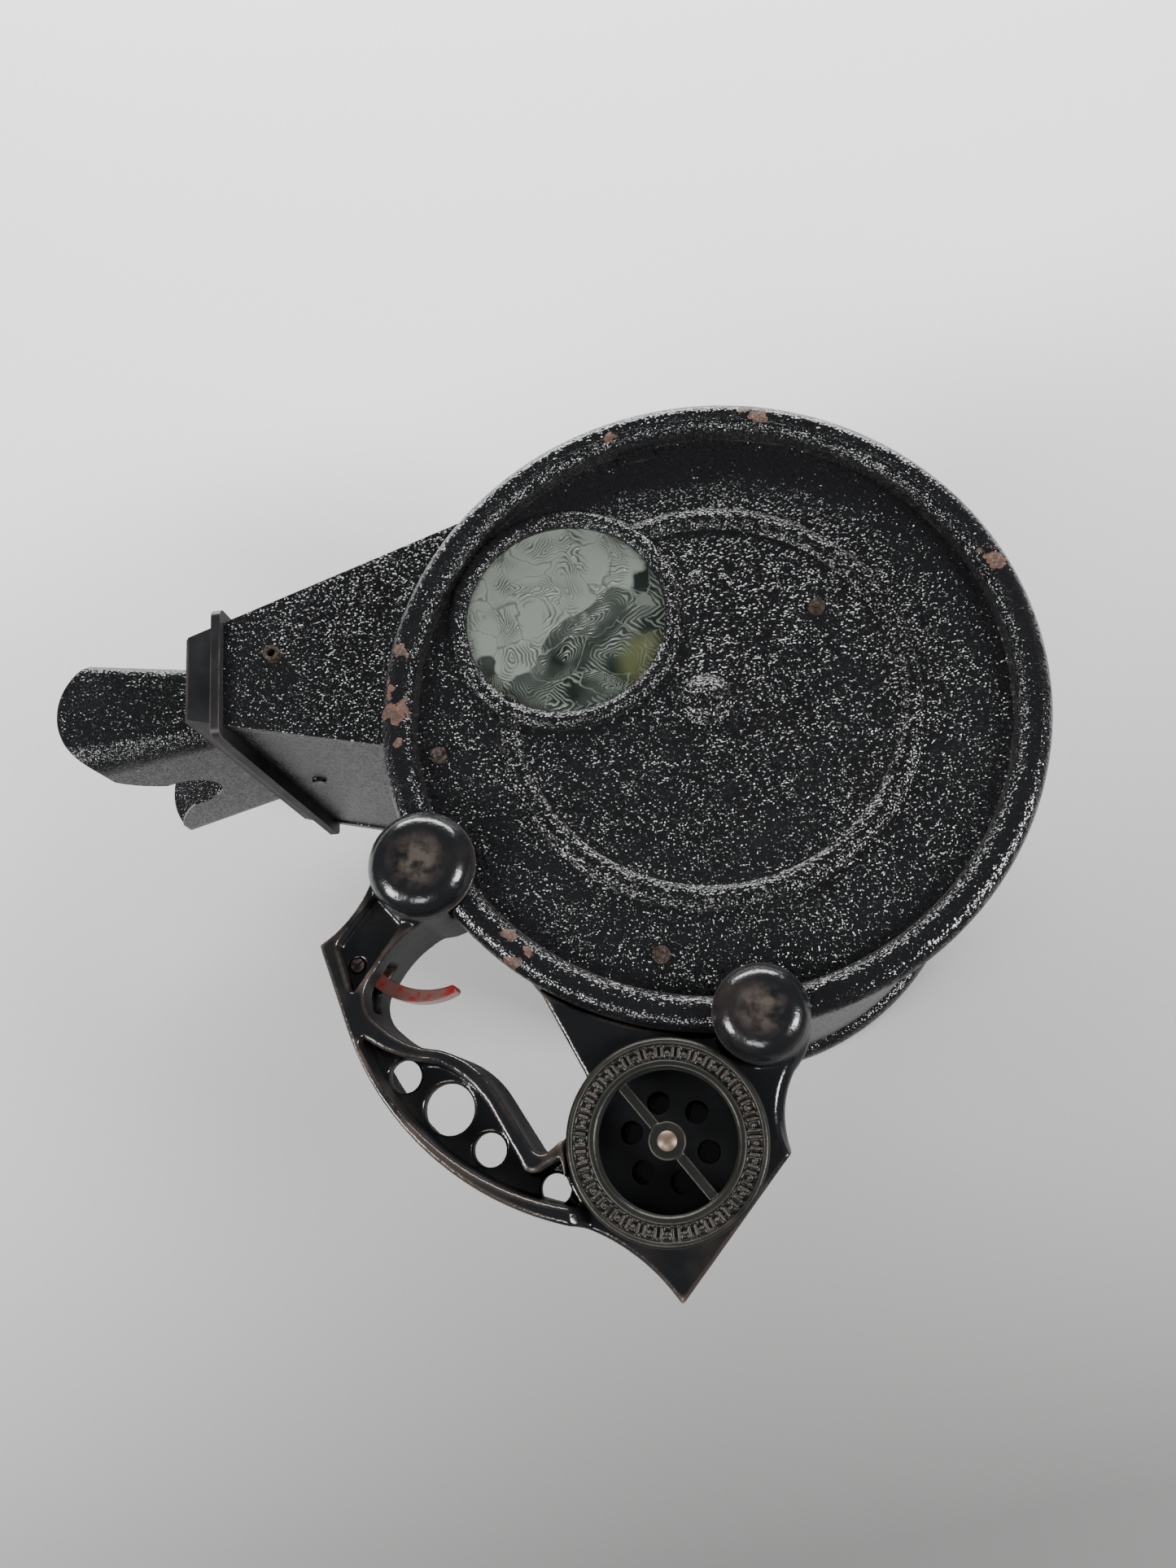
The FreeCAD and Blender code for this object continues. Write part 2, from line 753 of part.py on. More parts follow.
def rear_flank(out):
    """Waisted edge of the base under the rear ear, moved out by so much, closed inside the base."""
    return [
        from_rear(4.3 + out / 3, -47.9),
        (from_rear(1.3 + out, -31.3), from_rear(6.8 + out, -18.5)),
        (from_rear(12.9 + out * 0.8, -11.3), from_rear(16.7 + out / 4, -4.3)),
        from_rear(0.0, -8.0),
        from_rear(-6.0, -36.0),
    ]


# Cast frame. Its outline runs round the grip and the finger loop and inside the drum, which is cut away
outline = [
    from_ear(-ear_front_radius, 0),
    (from_ear(-26.7, -12.5), from_ear(-41.2, -25.0)),
    from_ear(-30.9, -58.5),
    (from_grip(-42.6, -50.9), from_cup(-30.8, -26.4)),
    (from_cup(-14.8, -36.4), bottom_point),
    from_rear(4.3, -47.9),
    (from_rear(1.3, -31.3), from_rear(6.8, -18.5)),
    (from_rear(12.9, -11.3), from_rear(16.7, -4.3)),
    from_rear(6.0, 10.0),
    polar(wall_radius - 12, 227),
    polar(wall_radius - 3, 226.5),
    polar(cup_wall_radius, 138, cup),
    (polar(cup_wall_radius, 155, cup), polar(cup_wall_radius, 173, cup)),
    from_cup(-40.8, 0.4),
    (from_cup(-44.3, -0.7), from_cup(-47.3, 1.6)),
    from_cup(-57.8, 20.4),
    (from_grip(-26.0, -21.4), from_ear(1.7, -67.0)),
    (from_ear(-10.3, -63.1), from_ear(-19.7, -55.8)),
    (from_ear(-24.5, -46.5), from_ear(-20.5, -37.1)),
    (from_ear(-9.1, -24.7), from_ear(6.3, -17.6)),
    polar(wall_radius - 4, 214),
    polar(wall_radius - 8, 203),
]
grip_hollow = [
    from_ear(-26.9, -59.0),
    (from_ear(-17.8, -65.4), from_ear(-0.8, -70.8)),
    (from_grip(-28.0, -26.8), from_cup(-61.3, 16.6)),
    from_cup(-51.3, -2.9),
    (from_cup(-48.3, -6.6), from_cup(-44.3, -5.4)),
    polar(cup_wall_radius + 1.9, 184, cup),
    (polar(cup_wall_radius + 1.9, 198.5, cup), polar(cup_wall_radius + 1.9, 212, cup)),
    (from_grip(-40.0, -48.5), from_ear(-26.9, -63.0)),
]
arm_hollow = [
    from_ear(-19.3, -8.0),
    (from_ear(-25.8, -15.0), from_ear(-34.5, -25.5)),
    from_ear(-29.3, -44.5),
    (from_ear(-20.9, -33.7), from_ear(-10.0, -20.0)),
]
frame = prism(outline, casting_floor, casting_top)
above_base = block(cup[0] - cup_wall_radius, rim_radius, bottom_point[1] - 1, 0, base_top, casting_top + 1)
frame = frame.cut(above_base)
bevel_low = base_top - base_bevel
flank = prism(rear_flank(base_bevel), casting_floor, bevel_low)
lower_edge = wire(rear_flank(base_bevel)).translated(V(0, 0, bevel_low))
upper_edge = wire(rear_flank(0)).translated(V(0, 0, base_top))
frame = frame.fuse([flank, Part.makeLoft([lower_edge, upper_edge], True, True)])
web_low = (casting_floor + casting_top - grip_web) / 2
frame = frame.cut(prism(grip_hollow, web_low + grip_web, casting_top + 1))
frame = frame.cut(prism(grip_hollow, casting_floor - 1, web_low))
frame = frame.cut(prism(arm_hollow, casting_top - arm_pocket, casting_top + 1))
web_places = [
    from_ear(-14.3, -74.0),
    from_grip(-38.6, -34.6),
    from_grip(-24.5, -50.0),
    from_cup(-41.7, -12.7),
]
for radius, place in zip(grip_web_holes, web_places):
    frame = frame.cut(cylinder(radius, web_low - 1, web_low + grip_web + 1, place))
frame = frame.fuse(cylinder(cup_wall_radius, casting_floor, base_top, cup))
ear_top = drum_height + ear_thickness
frame = frame.fuse(cylinder(ear_front_radius + ear_margin, casting_floor, ear_top, ear_front))
frame = frame.fuse(cylinder(ear_rear_radius + ear_margin, casting_floor, ear_top, ear_rear))
bead_bottom = drum_height - 2 * bead_radius
frame = frame.cut(cylinder(rim_radius + rim_gap, bead_bottom - rim_gap, drum_height))
frame = frame.cut(cylinder(wall_radius, casting_floor - 1, bead_bottom))
cup_seat = base_top - cup_floor_depth
frame = frame.cut(cylinder(cup_bore, cup_seat, base_top + 1, cup))
frame = frame.cut(cylinder(cup_bore - cup_ledge, casting_floor + cup_bottom, base_top, cup))


def ear_cap(radius, place):
    """Domed cap with a shallow dished top and a spigot into the ear."""
    land = radius * ear_cap_land
    top = ear_top + ear_cap_height
    rise = ear_cap_height - ear_cap_edge
    out = land + (radius - land) * ear_cap_bulge[0]
    shoulder = (out, ear_top + ear_cap_edge + rise * ear_cap_bulge[1])
    return turned([
        (0.0, ear_top - ear_spigot_length),
        (ear_spigot_radius, ear_top - ear_spigot_length),
        (ear_spigot_radius, ear_top),
        (radius, ear_top),
        (radius, ear_top + ear_cap_edge),
        (shoulder, (land, top)),
        (crown(land, -ear_cap_dish, top), (0.0, top - ear_cap_dish)),
    ], place)


keep("front_ear_cap", ear_cap(ear_front_radius, ear_front))
keep("rear_ear_cap", ear_cap(ear_rear_radius, ear_rear))
for place in (ear_front, ear_rear):
    frame = frame.cut(cylinder(ear_spigot_radius, ear_top - ear_spigot_length, ear_top + 1, place))

# Trigger: housed in the arm, with a tail that drives the connecting rod
slot_low = trigger_floor - side_gap
slot_high = trigger_floor + trigger_thickness + side_gap
house = cylinder(trigger_hub_radius + trigger_slot_side, slot_low, slot_high, pivot)
tail_room = 2 * (trigger_tail_radius + trigger_slot_side)
house = house.fuse(bar(pivot, trigger_pin, tail_room, slot_low, slot_high))
swung_pin = polar(link_arm, line_angle + 90 - card_step / 2, pivot)
house = house.fuse(bar(pivot, swung_pin, tail_room, slot_low, slot_high))
blade_room_middle = (blade_room_low + blade_room_high) / 2
blade_way = [
    pivot,
    polar(blade_room, blade_room_low, pivot),
    (polar(blade_room, blade_room_middle, pivot), polar(blade_room, blade_room_high, pivot)),
]
house = house.fuse(prism(blade_way, slot_low, slot_high))
frame = frame.cut(house).cut(rod_way)
pivot_top = casting_top - arm_pocket + pivot_stand
pivot_pin = cylinder(pivot_radius, casting_floor + 2, pivot_top, pivot)
frame = frame.cut(pivot_pin)
slot = block(-2 * pivot_radius, 2 * pivot_radius, -driver_slot / 2, driver_slot / 2,
             pivot_top - driver_slot, pivot_top + 1)
slot.rotate(V(0, 0, 0), V(0, 0, 1), driver_slot_angle)
keep("trigger_pivot", pivot_pin.cut(slot.translated(flat(pivot))))
blade = [
    shifted(pivot, (2.4, -5.5)),
    (shifted(pivot, (17.4, -14.3)), shifted(pivot, (34.1, -12.8))),
    (shifted(pivot, (35.3, -11.1)), shifted(pivot, (34.1, -9.6))),
    (shifted(pivot, (21.4, -10.1)), shifted(pivot, (5.9, -0.9))),
]
trigger = prism(blade, trigger_floor, trigger_floor + trigger_thickness)
trigger = trigger.fuse(cylinder(trigger_hub_radius, trigger_floor, trigger_tail_top, pivot))
trigger = trigger.fuse(bar(pivot, trigger_pin, 2 * trigger_tail_radius, trigger_floor, trigger_tail_top))
trigger = trigger.cut(cylinder(pivot_radius + running_gap, trigger_floor - 1, slot_high, pivot))
trigger = trigger.cut(cylinder(rod_pin_radius, trigger_floor - 1, slot_high, trigger_pin))
keep("trigger", trigger.removeSplitter())
keep("lower_rod_pin", cylinder(rod_pin_radius, trigger_floor, rod_top + side_gap / 2, trigger_pin))

# Leaf spring that returns the trigger, held in a slit of the frame
tail_angle = line_angle + 90 + card_step / 2
spring_contact = polar(spring_seat, tail_angle, pivot)
spring_toe = polar(trigger_tail_radius + spring_thickness / 2, tail_angle - 90, spring_contact)
spring_heel = polar(spring_length, tail_angle - spring_lean, pivot)
spring_root = polar(spring_length - spring_grip, tail_angle - spring_lean, pivot)
spring_low = trigger_floor + (trigger_tail_thickness - spring_height) / 2
leaf = bar(spring_toe, spring_heel, spring_thickness, spring_low, spring_low + spring_height)
spring_way = bar(spring_toe, spring_root, spring_room, slot_low, spring_low + spring_height)
frame = frame.cut(spring_way).cut(leaf)
keep("trigger_spring", leaf)
for screw in frame_screws:
    frame = frame.cut(screw)
keep("handle_frame", frame.removeSplitter())

# Cup in the base: perforated floor, ring bezel with its bar, centre rivet
cup_floor = cylinder(cup_bore - running_gap, cup_seat, cup_seat + cup_floor_thickness, cup)
for index in range(cup_holes):
    place = polar(cup_hole_circle, cup_hole_turn + 360 / cup_holes * index, cup)
    cup_floor = cup_floor.cut(cylinder(cup_hole_radius, cup_seat - 1, base_top, place))
keep("cup_floor", cup_floor)
bezel_top = base_top + bezel_height
band_low = bezel_top - bezel_band_depth
bezel = turned([
    (bezel_opening, base_top),
    (bezel_radius, base_top),
    (bezel_radius, bezel_top - bezel_edge),
    (bezel_radius - bezel_edge, bezel_top),
    (bezel_radius - bezel_rim_outer, bezel_top),
    (bezel_radius - bezel_rim_outer - bezel_lean, band_low),
    (bezel_opening + bezel_rim_inner + bezel_lean, band_low),
    (bezel_opening + bezel_rim_inner, bezel_top),
    (bezel_opening + bezel_edge, bezel_top),
    (bezel_opening, bezel_top - bezel_edge),
], cup)
bar_top = bezel_top - bar_drop
bar_low = bar_top - bar_height
bar_reach = bezel_opening + bezel_rim_inner / 2
bar_ends = (polar(bar_reach, bar_angle, cup), polar(-bar_reach, bar_angle, cup))
bridge_bar = bar(bar_ends[0], bar_ends[1], bar_width, bar_low, bar_top)
boss = cylinder(bar_boss_radius, bar_low - bar_boss_stand, bar_top + bar_boss_stand, cup)
rivet_hole = cylinder(cup_rivet_shank, base_top - 1, bezel_top, cup)
keep("cup_ring", bezel.fuse([bridge_bar, boss]).cut(rivet_hole).removeSplitter())
cup_rivet = cylinder(cup_rivet_shank, bar_low - bar_boss_stand, bar_top + bar_boss_stand)
cup_rivet = cup_rivet.fuse(round_head(cup_rivet_radius, rivet_head_height, bar_top + bar_boss_stand))
keep("cup_rivet", cup_rivet.removeSplitter().translated(flat(cup)))

# Axle: pressed into the bridge plate under the near cover and into a socket on the far cover
bridge_low = near_inside - bridge_thickness
bridge = cylinder(bridge_hub_radius, bridge_low, near_inside)
screws = []
collars = []
for place in screw_places:
    bridge = bridge.fuse(bar((0.0, 0.0), place, bridge_arm_width, bridge_low, near_inside))
for place in screw_places:
    collar_top = near_panel + screw_collar_height
    shaft = cylinder(screw_radius, bridge_low, collar_top + screw_end, place)
    head = cylinder(screw_collar_radius, bridge_low - screw_collar_height, bridge_low, place)
    bridge = bridge.cut(shaft)
    screws.append(shaft.fuse(head).removeSplitter())
    collars.append(tube(screw_collar_radius, screw_radius, near_panel, collar_top, place))
bridge = bridge.cut(cylinder(axle_radius, bridge_low - 1, near_inside + 1)).cut(glass_room())
keep("bridge_plate", bridge.removeSplitter())
keep("bridge_screws", Part.makeCompound(screws))
keep("screw_collars", Part.makeCompound(collars))
keep("axle", cylinder(axle_radius, far_inside, near_inside + bridge_thickness))
socket = cylinder(socket_flange_radius, far_inside, far_inside + socket_flange)
socket = socket.fuse(cylinder(bush_radius, far_inside, far_inside + socket_height))
socket = socket.cut(cylinder(axle_radius, 0, drum_height)).cut(flipped(glass_room()))
keep("axle_socket", socket.removeSplitter())
collar_low = pawl_arm_top + side_gap
keep("axle_collar", tube(collar_radius, axle_radius, collar_low, collar_low + collar_height))

# Reel: slotted hub on two bushes, ratchet wheel and a fan of cards
steps_round = int(round(360 / card_step))
hub = tube(hub_radius, hub_bore, hub_floor, hub_top)
slots = []
for index in range(steps_round):
    slot = block(hub_radius - slot_depth, hub_radius + 1, -slot_width / 2, slot_width / 2, 0, drum_height)
    slot.rotate(V(0, 0, 0), V(0, 0, 1), card_view_angle + index * card_step)
    slots.append(slot)
keep("card_hub", hub.cut(slots))
keep("far_hub_disc", tube(hub_bore, bush_radius, hub_floor, hub_floor + hub_disc))
keep("near_hub_disc", tube(hub_bore, bush_radius, hub_top - hub_disc, hub_top))
ratchet_top = hub_top + ratchet_thickness
bush_bore = axle_radius + running_gap
keep("far_bush", tube(bush_radius, bush_bore, hub_floor, hub_floor + bush_length))
keep("near_bush", tube(bush_radius, bush_bore, ratchet_top - bush_length, ratchet_top))
teeth = []
for index in range(steps_round):
    face = pawl_tooth_angle + index * card_step
    teeth.append(polar(ratchet_radius - ratchet_tooth, face))
    teeth.append(polar(ratchet_radius, face))
ratchet = prism(teeth, hub_top, ratchet_top)
keep("ratchet_wheel", ratchet.cut(cylinder(bush_radius, 0, drum_height)))
for index in range(card_count):
    card = block(card_inner, card_outer, -card_thickness / 2, card_thickness / 2, card_floor, card_top)
    card.rotate(V(0, 0, 0), V(0, 0, 1), card_view_angle - index * card_step)
    keep("view_card_%02d" % (index + 1), card)

# Pawl arm on the axle, pawl with its pin and spring, connecting rod with its pins
arm = cylinder(pawl_arm_hub, pawl_arm_floor, pawl_arm_top)
arm = arm.fuse(bar((0.0, 0.0), pawl_pivot, 2 * pawl_eye, pawl_arm_floor, pawl_arm_top))
arm = arm.fuse(bar((0.0, 0.0), pawl_post, 2 * pawl_eye, pawl_arm_floor, pawl_arm_top))
arm = arm.fuse(cylinder(rod_eye_radius, pawl_arm_floor, pawl_arm_top, arm_pin))
pawl_low = hub_top + side_gap
pawl_high = pawl_arm_floor - side_gap
post = cylinder(pawl_pin_radius, pawl_low, pawl_arm_floor, pawl_post)
arm = arm.fuse(post)
arm = arm.cut(cylinder(bush_bore, pawl_arm_floor - 1, pawl_arm_top + 1))
arm = arm.cut(cylinder(pawl_pin_radius, pawl_arm_floor - 1, pawl_arm_top + 1, pawl_pivot))
arm = arm.cut(cylinder(rod_pin_radius, pawl_arm_floor - 1, pawl_arm_top + 1, arm_pin))
keep("pawl_arm", arm.removeSplitter())
keep("pawl_pin", cylinder(pawl_pin_radius, pawl_low, pawl_arm_top, pawl_pivot))
tooth_gap = pawl_tooth_angle - pawl_tooth_gap
pawl_tip = polar(ratchet_radius - pawl_bite, tooth_gap)
pawl_heel = polar(ratchet_radius - pawl_bite + pawl_width, tooth_gap)
pawl_body = [
    polar(pawl_pivot_radius - pawl_eye / 2, pawl_pivot_angle),
    pawl_tip,
    pawl_heel,
    polar(pawl_pivot_radius + pawl_eye * 0.9, pawl_pivot_angle),
]
pawl = prism(pawl_body, pawl_low, pawl_high).fuse(cylinder(pawl_eye, pawl_low, pawl_high, pawl_pivot))
keep("pawl", pawl.cut(cylinder(pawl_pin_radius + running_gap, 0, drum_height, pawl_pivot)).removeSplitter())
spring_end = polar(ratchet_radius - pawl_bite + pawl_width + spring_thickness, tooth_gap - pawl_spring_lead)
pawl_leaf = bar(spring_end, pawl_post, spring_thickness, pawl_low, pawl_high)
pawl_leaf = pawl_leaf.cut(nodes["pawl"]).cut(post)
keep("pawl_spring", pawl_leaf)
keep("upper_rod_pin", cylinder(rod_pin_radius, pawl_arm_floor, rod_top + side_gap / 2, arm_pin))
rod = bar(trigger_pin, arm_pin, rod_width, rod_floor, rod_top)
rod = rod.fuse(cylinder(rod_eye_radius, rod_floor, rod_top, trigger_pin))
rod = rod.fuse(cylinder(rod_eye_radius, rod_floor, rod_top, arm_pin))
rod = rod.cut(cylinder(rod_pin_radius + running_gap, rod_floor - 1, rod_top + 1, trigger_pin))
rod = rod.cut(cylinder(rod_pin_radius + open_pivot_gap, rod_floor - 1, rod_top + 1, arm_pin))
keep("connecting_rod", rod.removeSplitter())

# Origin under the middle of the overall box, standing on the far rim
middle = V((rim_radius + hood_tip) / 2, (rim_radius + bottom_point[1]) / 2, 0)
os.makedirs("parts", exist_ok=True)
for name, shape in nodes.items():
    shape.translated(middle * -1).exportStep("parts/%s.step" % name)
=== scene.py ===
import math
import random
import bmesh
import bpy
from mathutils import Matrix, Vector, noise


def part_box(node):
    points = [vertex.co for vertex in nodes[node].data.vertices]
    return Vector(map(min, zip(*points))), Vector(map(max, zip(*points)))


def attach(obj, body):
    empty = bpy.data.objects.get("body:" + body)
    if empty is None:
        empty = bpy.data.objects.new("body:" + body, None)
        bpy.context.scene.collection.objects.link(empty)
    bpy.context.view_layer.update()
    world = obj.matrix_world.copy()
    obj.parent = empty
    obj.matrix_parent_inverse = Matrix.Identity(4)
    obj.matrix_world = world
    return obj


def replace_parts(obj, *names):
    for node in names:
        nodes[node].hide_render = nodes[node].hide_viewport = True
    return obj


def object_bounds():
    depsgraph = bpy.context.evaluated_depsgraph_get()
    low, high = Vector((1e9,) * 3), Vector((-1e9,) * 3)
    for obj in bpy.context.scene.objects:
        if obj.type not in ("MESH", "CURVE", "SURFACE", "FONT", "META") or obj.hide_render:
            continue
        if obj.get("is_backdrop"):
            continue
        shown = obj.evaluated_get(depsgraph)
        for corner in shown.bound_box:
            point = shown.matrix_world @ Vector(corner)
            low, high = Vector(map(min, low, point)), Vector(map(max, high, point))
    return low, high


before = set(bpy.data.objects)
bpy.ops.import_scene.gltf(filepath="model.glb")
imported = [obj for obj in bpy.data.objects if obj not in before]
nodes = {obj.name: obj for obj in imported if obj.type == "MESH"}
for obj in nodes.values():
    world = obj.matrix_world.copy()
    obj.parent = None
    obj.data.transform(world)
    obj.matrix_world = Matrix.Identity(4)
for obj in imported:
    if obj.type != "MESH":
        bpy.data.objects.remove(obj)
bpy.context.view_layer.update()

# Drum wall: one sheet of thin steel rolled into a drum, open towards the tunnel.
# Its black japan was baked until it wrinkled into small hard pebbles that glint in the light.
japan_black = (0.0058, 0.0058, 0.0066, 1.0)
japan_worn = (0.040, 0.032, 0.027, 1.0)
japan_dull = 0.13
japan_gloss = 0.07
wall_dulling = 0.26
pebble_size = 0.00092
pebble_depth = 0.00040
pebble_dome = 0.36
grit_share = 0.2
grit_finer = 2.2
bend_coarser = 0.5
patch_coarser = 0.09
middle_grey = (0.5, 0.5, 0.5)
steep_walls = {"Start": 0.6, "End": 0.25}


def place_node(tree, kind, values=(), **settings):
    """Adds a shader node: a value that is a socket is linked, any other is set."""
    node = tree.nodes.new(kind)
    for name, value in settings.items():
        setattr(node, name, value)
    for socket, value in dict(values).items():
        if isinstance(value, bpy.types.NodeSocket):
            tree.links.new(value, node.inputs[socket])
        else:
            node.inputs[socket].default_value = value
    return node


def maths(tree, operation, first, second=0.0):
    """Arithmetic on two numbers or sockets."""
    return place_node(tree, "ShaderNodeMath", {0: first, 1: second}, operation=operation).outputs[0]


def vectors(tree, operation, first, second=(0.0, 0.0, 0.0)):
    """Vector arithmetic, which gives a number for a distance, a length or a dot product."""
    node = place_node(tree, "ShaderNodeVectorMath", {0: first, 1: second}, operation=operation)
    return node.outputs["Value" if operation in ("DISTANCE", "DOT_PRODUCT", "LENGTH") else "Vector"]


def spread(tree, value, low, high, to_low=0.0, to_high=1.0):
    """Stretches a range of values to another and stops at its ends."""
    node = place_node(tree, "ShaderNodeMapRange", {0: value, 1: low, 2: high, 3: to_low, 4: to_high})
    return node.outputs[0]


def cloud(tree, where, scale, detail=2.0):
    """Soft noise round a mean of about 0.5."""
    values = {"Vector": where, "Scale": scale, "Detail": detail}
    return place_node(tree, "ShaderNodeTexNoise", values).outputs[0]


def tinted(tree, mask, first, second):
    """The first colour where the mask is 0 and the second where it is 1."""
    node = place_node(tree, "ShaderNodeMix", {0: mask, 6: first, 7: second}, data_type="RGBA")
    return node.outputs[2]


def effect(name, inputs, outputs):
    """Starts a shader node group with named number inputs and outputs."""
    tree = bpy.data.node_groups.new(name, "ShaderNodeTree")
    for title, value in inputs.items():
        socket = tree.interface.new_socket(title, in_out="INPUT", socket_type="NodeSocketFloat")
        socket.default_value = value
    for title in outputs:
        tree.interface.new_socket(title, in_out="OUTPUT", socket_type="NodeSocketFloat")
    return tree, tree.nodes.new("NodeGroupInput").outputs, tree.nodes.new("NodeGroupOutput")


def placed_effect(tree, group, values):
    """Puts a node group into a material and returns its outputs."""
    node = place_node(tree, "ShaderNodeGroup", node_tree=group)
    for name, value in values.items():
        node.inputs[name].default_value = value
    return node.outputs


def object_place(tree):
    return place_node(tree, "ShaderNodeTexCoord").outputs["Object"]


pebbles, given, result = effect("pebbles", {"Size": 0.0012, "Flow": 0.8, "Facet": 1.55}, ["Height", "Sheen"])
where = object_place(pebbles)
count = maths(pebbles, "DIVIDE", 1.0, given["Size"])
bend = place_node(pebbles, "ShaderNodeTexNoise",
                  {"Vector": where, "Scale": maths(pebbles, "MULTIPLY", count, bend_coarser), "Detail": 1.0})
centred = vectors(pebbles, "SUBTRACT", bend.outputs["Color"], middle_grey)
reach = maths(pebbles, "MULTIPLY", given["Size"], given["Flow"])
push = place_node(pebbles, "ShaderNodeVectorMath", {0: centred, "Scale": reach}, operation="SCALE")
bent = vectors(pebbles, "ADD", where, push.outputs[0])
cells = place_node(pebbles, "ShaderNodeTexVoronoi", {"Vector": bent, "Scale": count}, feature="F1")
lean = vectors(pebbles, "SUBTRACT", cells.outputs["Color"], middle_grey)
offset = vectors(pebbles, "SUBTRACT", bent, cells.outputs["Position"])
facet = vectors(pebbles, "DOT_PRODUCT", lean, offset)
tilted = maths(pebbles, "MULTIPLY", maths(pebbles, "MULTIPLY", facet, count), given["Facet"])
rounded = spread(pebbles, cells.outputs["Distance"], 0.05, 0.75, pebble_dome, 0.0)
specks = cloud(pebbles, where, maths(pebbles, "MULTIPLY", count, grit_finer), 1.0)
grit = maths(pebbles, "MULTIPLY", specks, grit_share)
patches = cloud(pebbles, where, maths(pebbles, "MULTIPLY", count, patch_coarser), 2.0)
grain = maths(pebbles, "ADD", maths(pebbles, "ADD", tilted, rounded), grit)
fullness = spread(pebbles, patches, 0.35, 0.62, 0.8, 1.0)
pebbles.links.new(maths(pebbles, "MULTIPLY", grain, fullness), result.inputs["Height"])
pebbles.links.new(spread(pebbles, patches, 0.3, 0.7), result.inputs["Sheen"])

edge_wear, given, result = effect("edge wear", {"Reach": 0.001, "Amount": 0.5, "Break": 90.0}, ["Mask"])
rounded_normal = place_node(edge_wear, "ShaderNodeBevel", {"Radius": given["Reach"]}, samples=6)
true_normal = place_node(edge_wear, "ShaderNodeNewGeometry").outputs["Normal"]
agreement = vectors(edge_wear, "DOT_PRODUCT", rounded_normal.outputs[0], true_normal)
turned_away = spread(edge_wear, agreement, 0.995, 0.80)
blotches = cloud(edge_wear, object_place(edge_wear), given["Break"], 4.0)
limit = maths(edge_wear, "SUBTRACT", 0.85, given["Amount"])
worn = spread(edge_wear, blotches, limit, maths(edge_wear, "ADD", limit, 0.22))
edge_wear.links.new(maths(edge_wear, "MULTIPLY", turned_away, worn), result.inputs["Mask"])

sides, given, result = effect("sides", steep_walls, ["Mask"])
facing = place_node(sides, "ShaderNodeSeparateXYZ",
                    {0: place_node(sides, "ShaderNodeNewGeometry").outputs["Normal"]}).outputs[2]
steep = maths(sides, "ABSOLUTE", facing)
sides.links.new(spread(sides, steep, given["Start"], given["End"]), result.inputs["Mask"])


def finish(name, colour, roughness, metallic=0.0):
    """New material with its shader set; returns the material, its tree and its shader."""
    material = bpy.data.materials.new(name)
    material.use_nodes = True
    shader = material.node_tree.nodes["Principled BSDF"]
    shader.inputs["Base Color"].default_value = colour
    shader.inputs["Roughness"].default_value = roughness
    shader.inputs["Metallic"].default_value = metallic
    return material, material.node_tree, shader


def pebbled(name, size, depth, flow, wear):
    """Wrinkled black japan, rubbed brown along the edges."""
    material, tree, shader = finish(name, japan_black, japan_dull)
    shader.inputs["Specular IOR Level"].default_value = 0.6
    grain = placed_effect(tree, pebbles, {"Size": size, "Flow": flow})
    bump = place_node(tree, "ShaderNodeBump", {"Height": grain["Height"], "Distance": depth, "Strength": 1.0})
    tree.links.new(bump.outputs[0], shader.inputs["Normal"])
    rub = placed_effect(tree, edge_wear, {"Reach": 0.0012, "Amount": wear, "Break": 60.0})
    tree.links.new(tinted(tree, rub["Mask"], japan_black, japan_worn), shader.inputs["Base Color"])
    flat_sheen = spread(tree, grain["Sheen"], 0.0, 1.0, japan_dull, japan_gloss)
    side = placed_effect(tree, sides, steep_walls)["Mask"]
    dull = maths(tree, "ADD", flat_sheen, maths(tree, "MULTIPLY", side, wall_dulling))
    tree.links.new(dull, shader.inputs["Roughness"])
    return material


def dress(material, *names):
    """Gives CAD pieces their finish."""
    for name in names:
        nodes[name].data.materials.clear()
        nodes[name].data.materials.append(material)


wall_japan = pebbled("pebbled japan", pebble_size, pebble_depth, 0.9, 0.3)
dress(wall_japan, "drum_wall")

# Covers: pressed sheet with a rolled rim, a ring and a raised boss round the light window.
# The japan has flaked to bare rusty steel in patches on the rim, most of all beside the tunnel.
rust_brown = (0.104, 0.044, 0.023, 1.0)
rust_dark = (0.034, 0.018, 0.012, 1.0)
drum_axis = sum(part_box("axle"), Vector()) / 2
rim_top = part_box("near_cover")[1].z
rim_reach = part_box("near_cover")[1].x - drum_axis.x
rim_start = 0.91
rim_end = 0.96
rim_grain = 0.55
# Each bare patch has its angle in degrees, its distance from the drum's axis and its reach.
rust_places = [
    (173.0, 0.1215, 0.010),
    (177.5, 0.1220, 0.011),
    (182.0, 0.1220, 0.010),
    (163.3, 0.1205, 0.011),
    (156.0, 0.1235, 0.007),
    (225.5, 0.1210, 0.010),
    (230.0, 0.1220, 0.010),
    (74.4, 0.1235, 0.012),
    (19.8, 0.1190, 0.010),
    (164.0, 0.0950, 0.006),
    (102.7, 0.1170, 0.006),
]


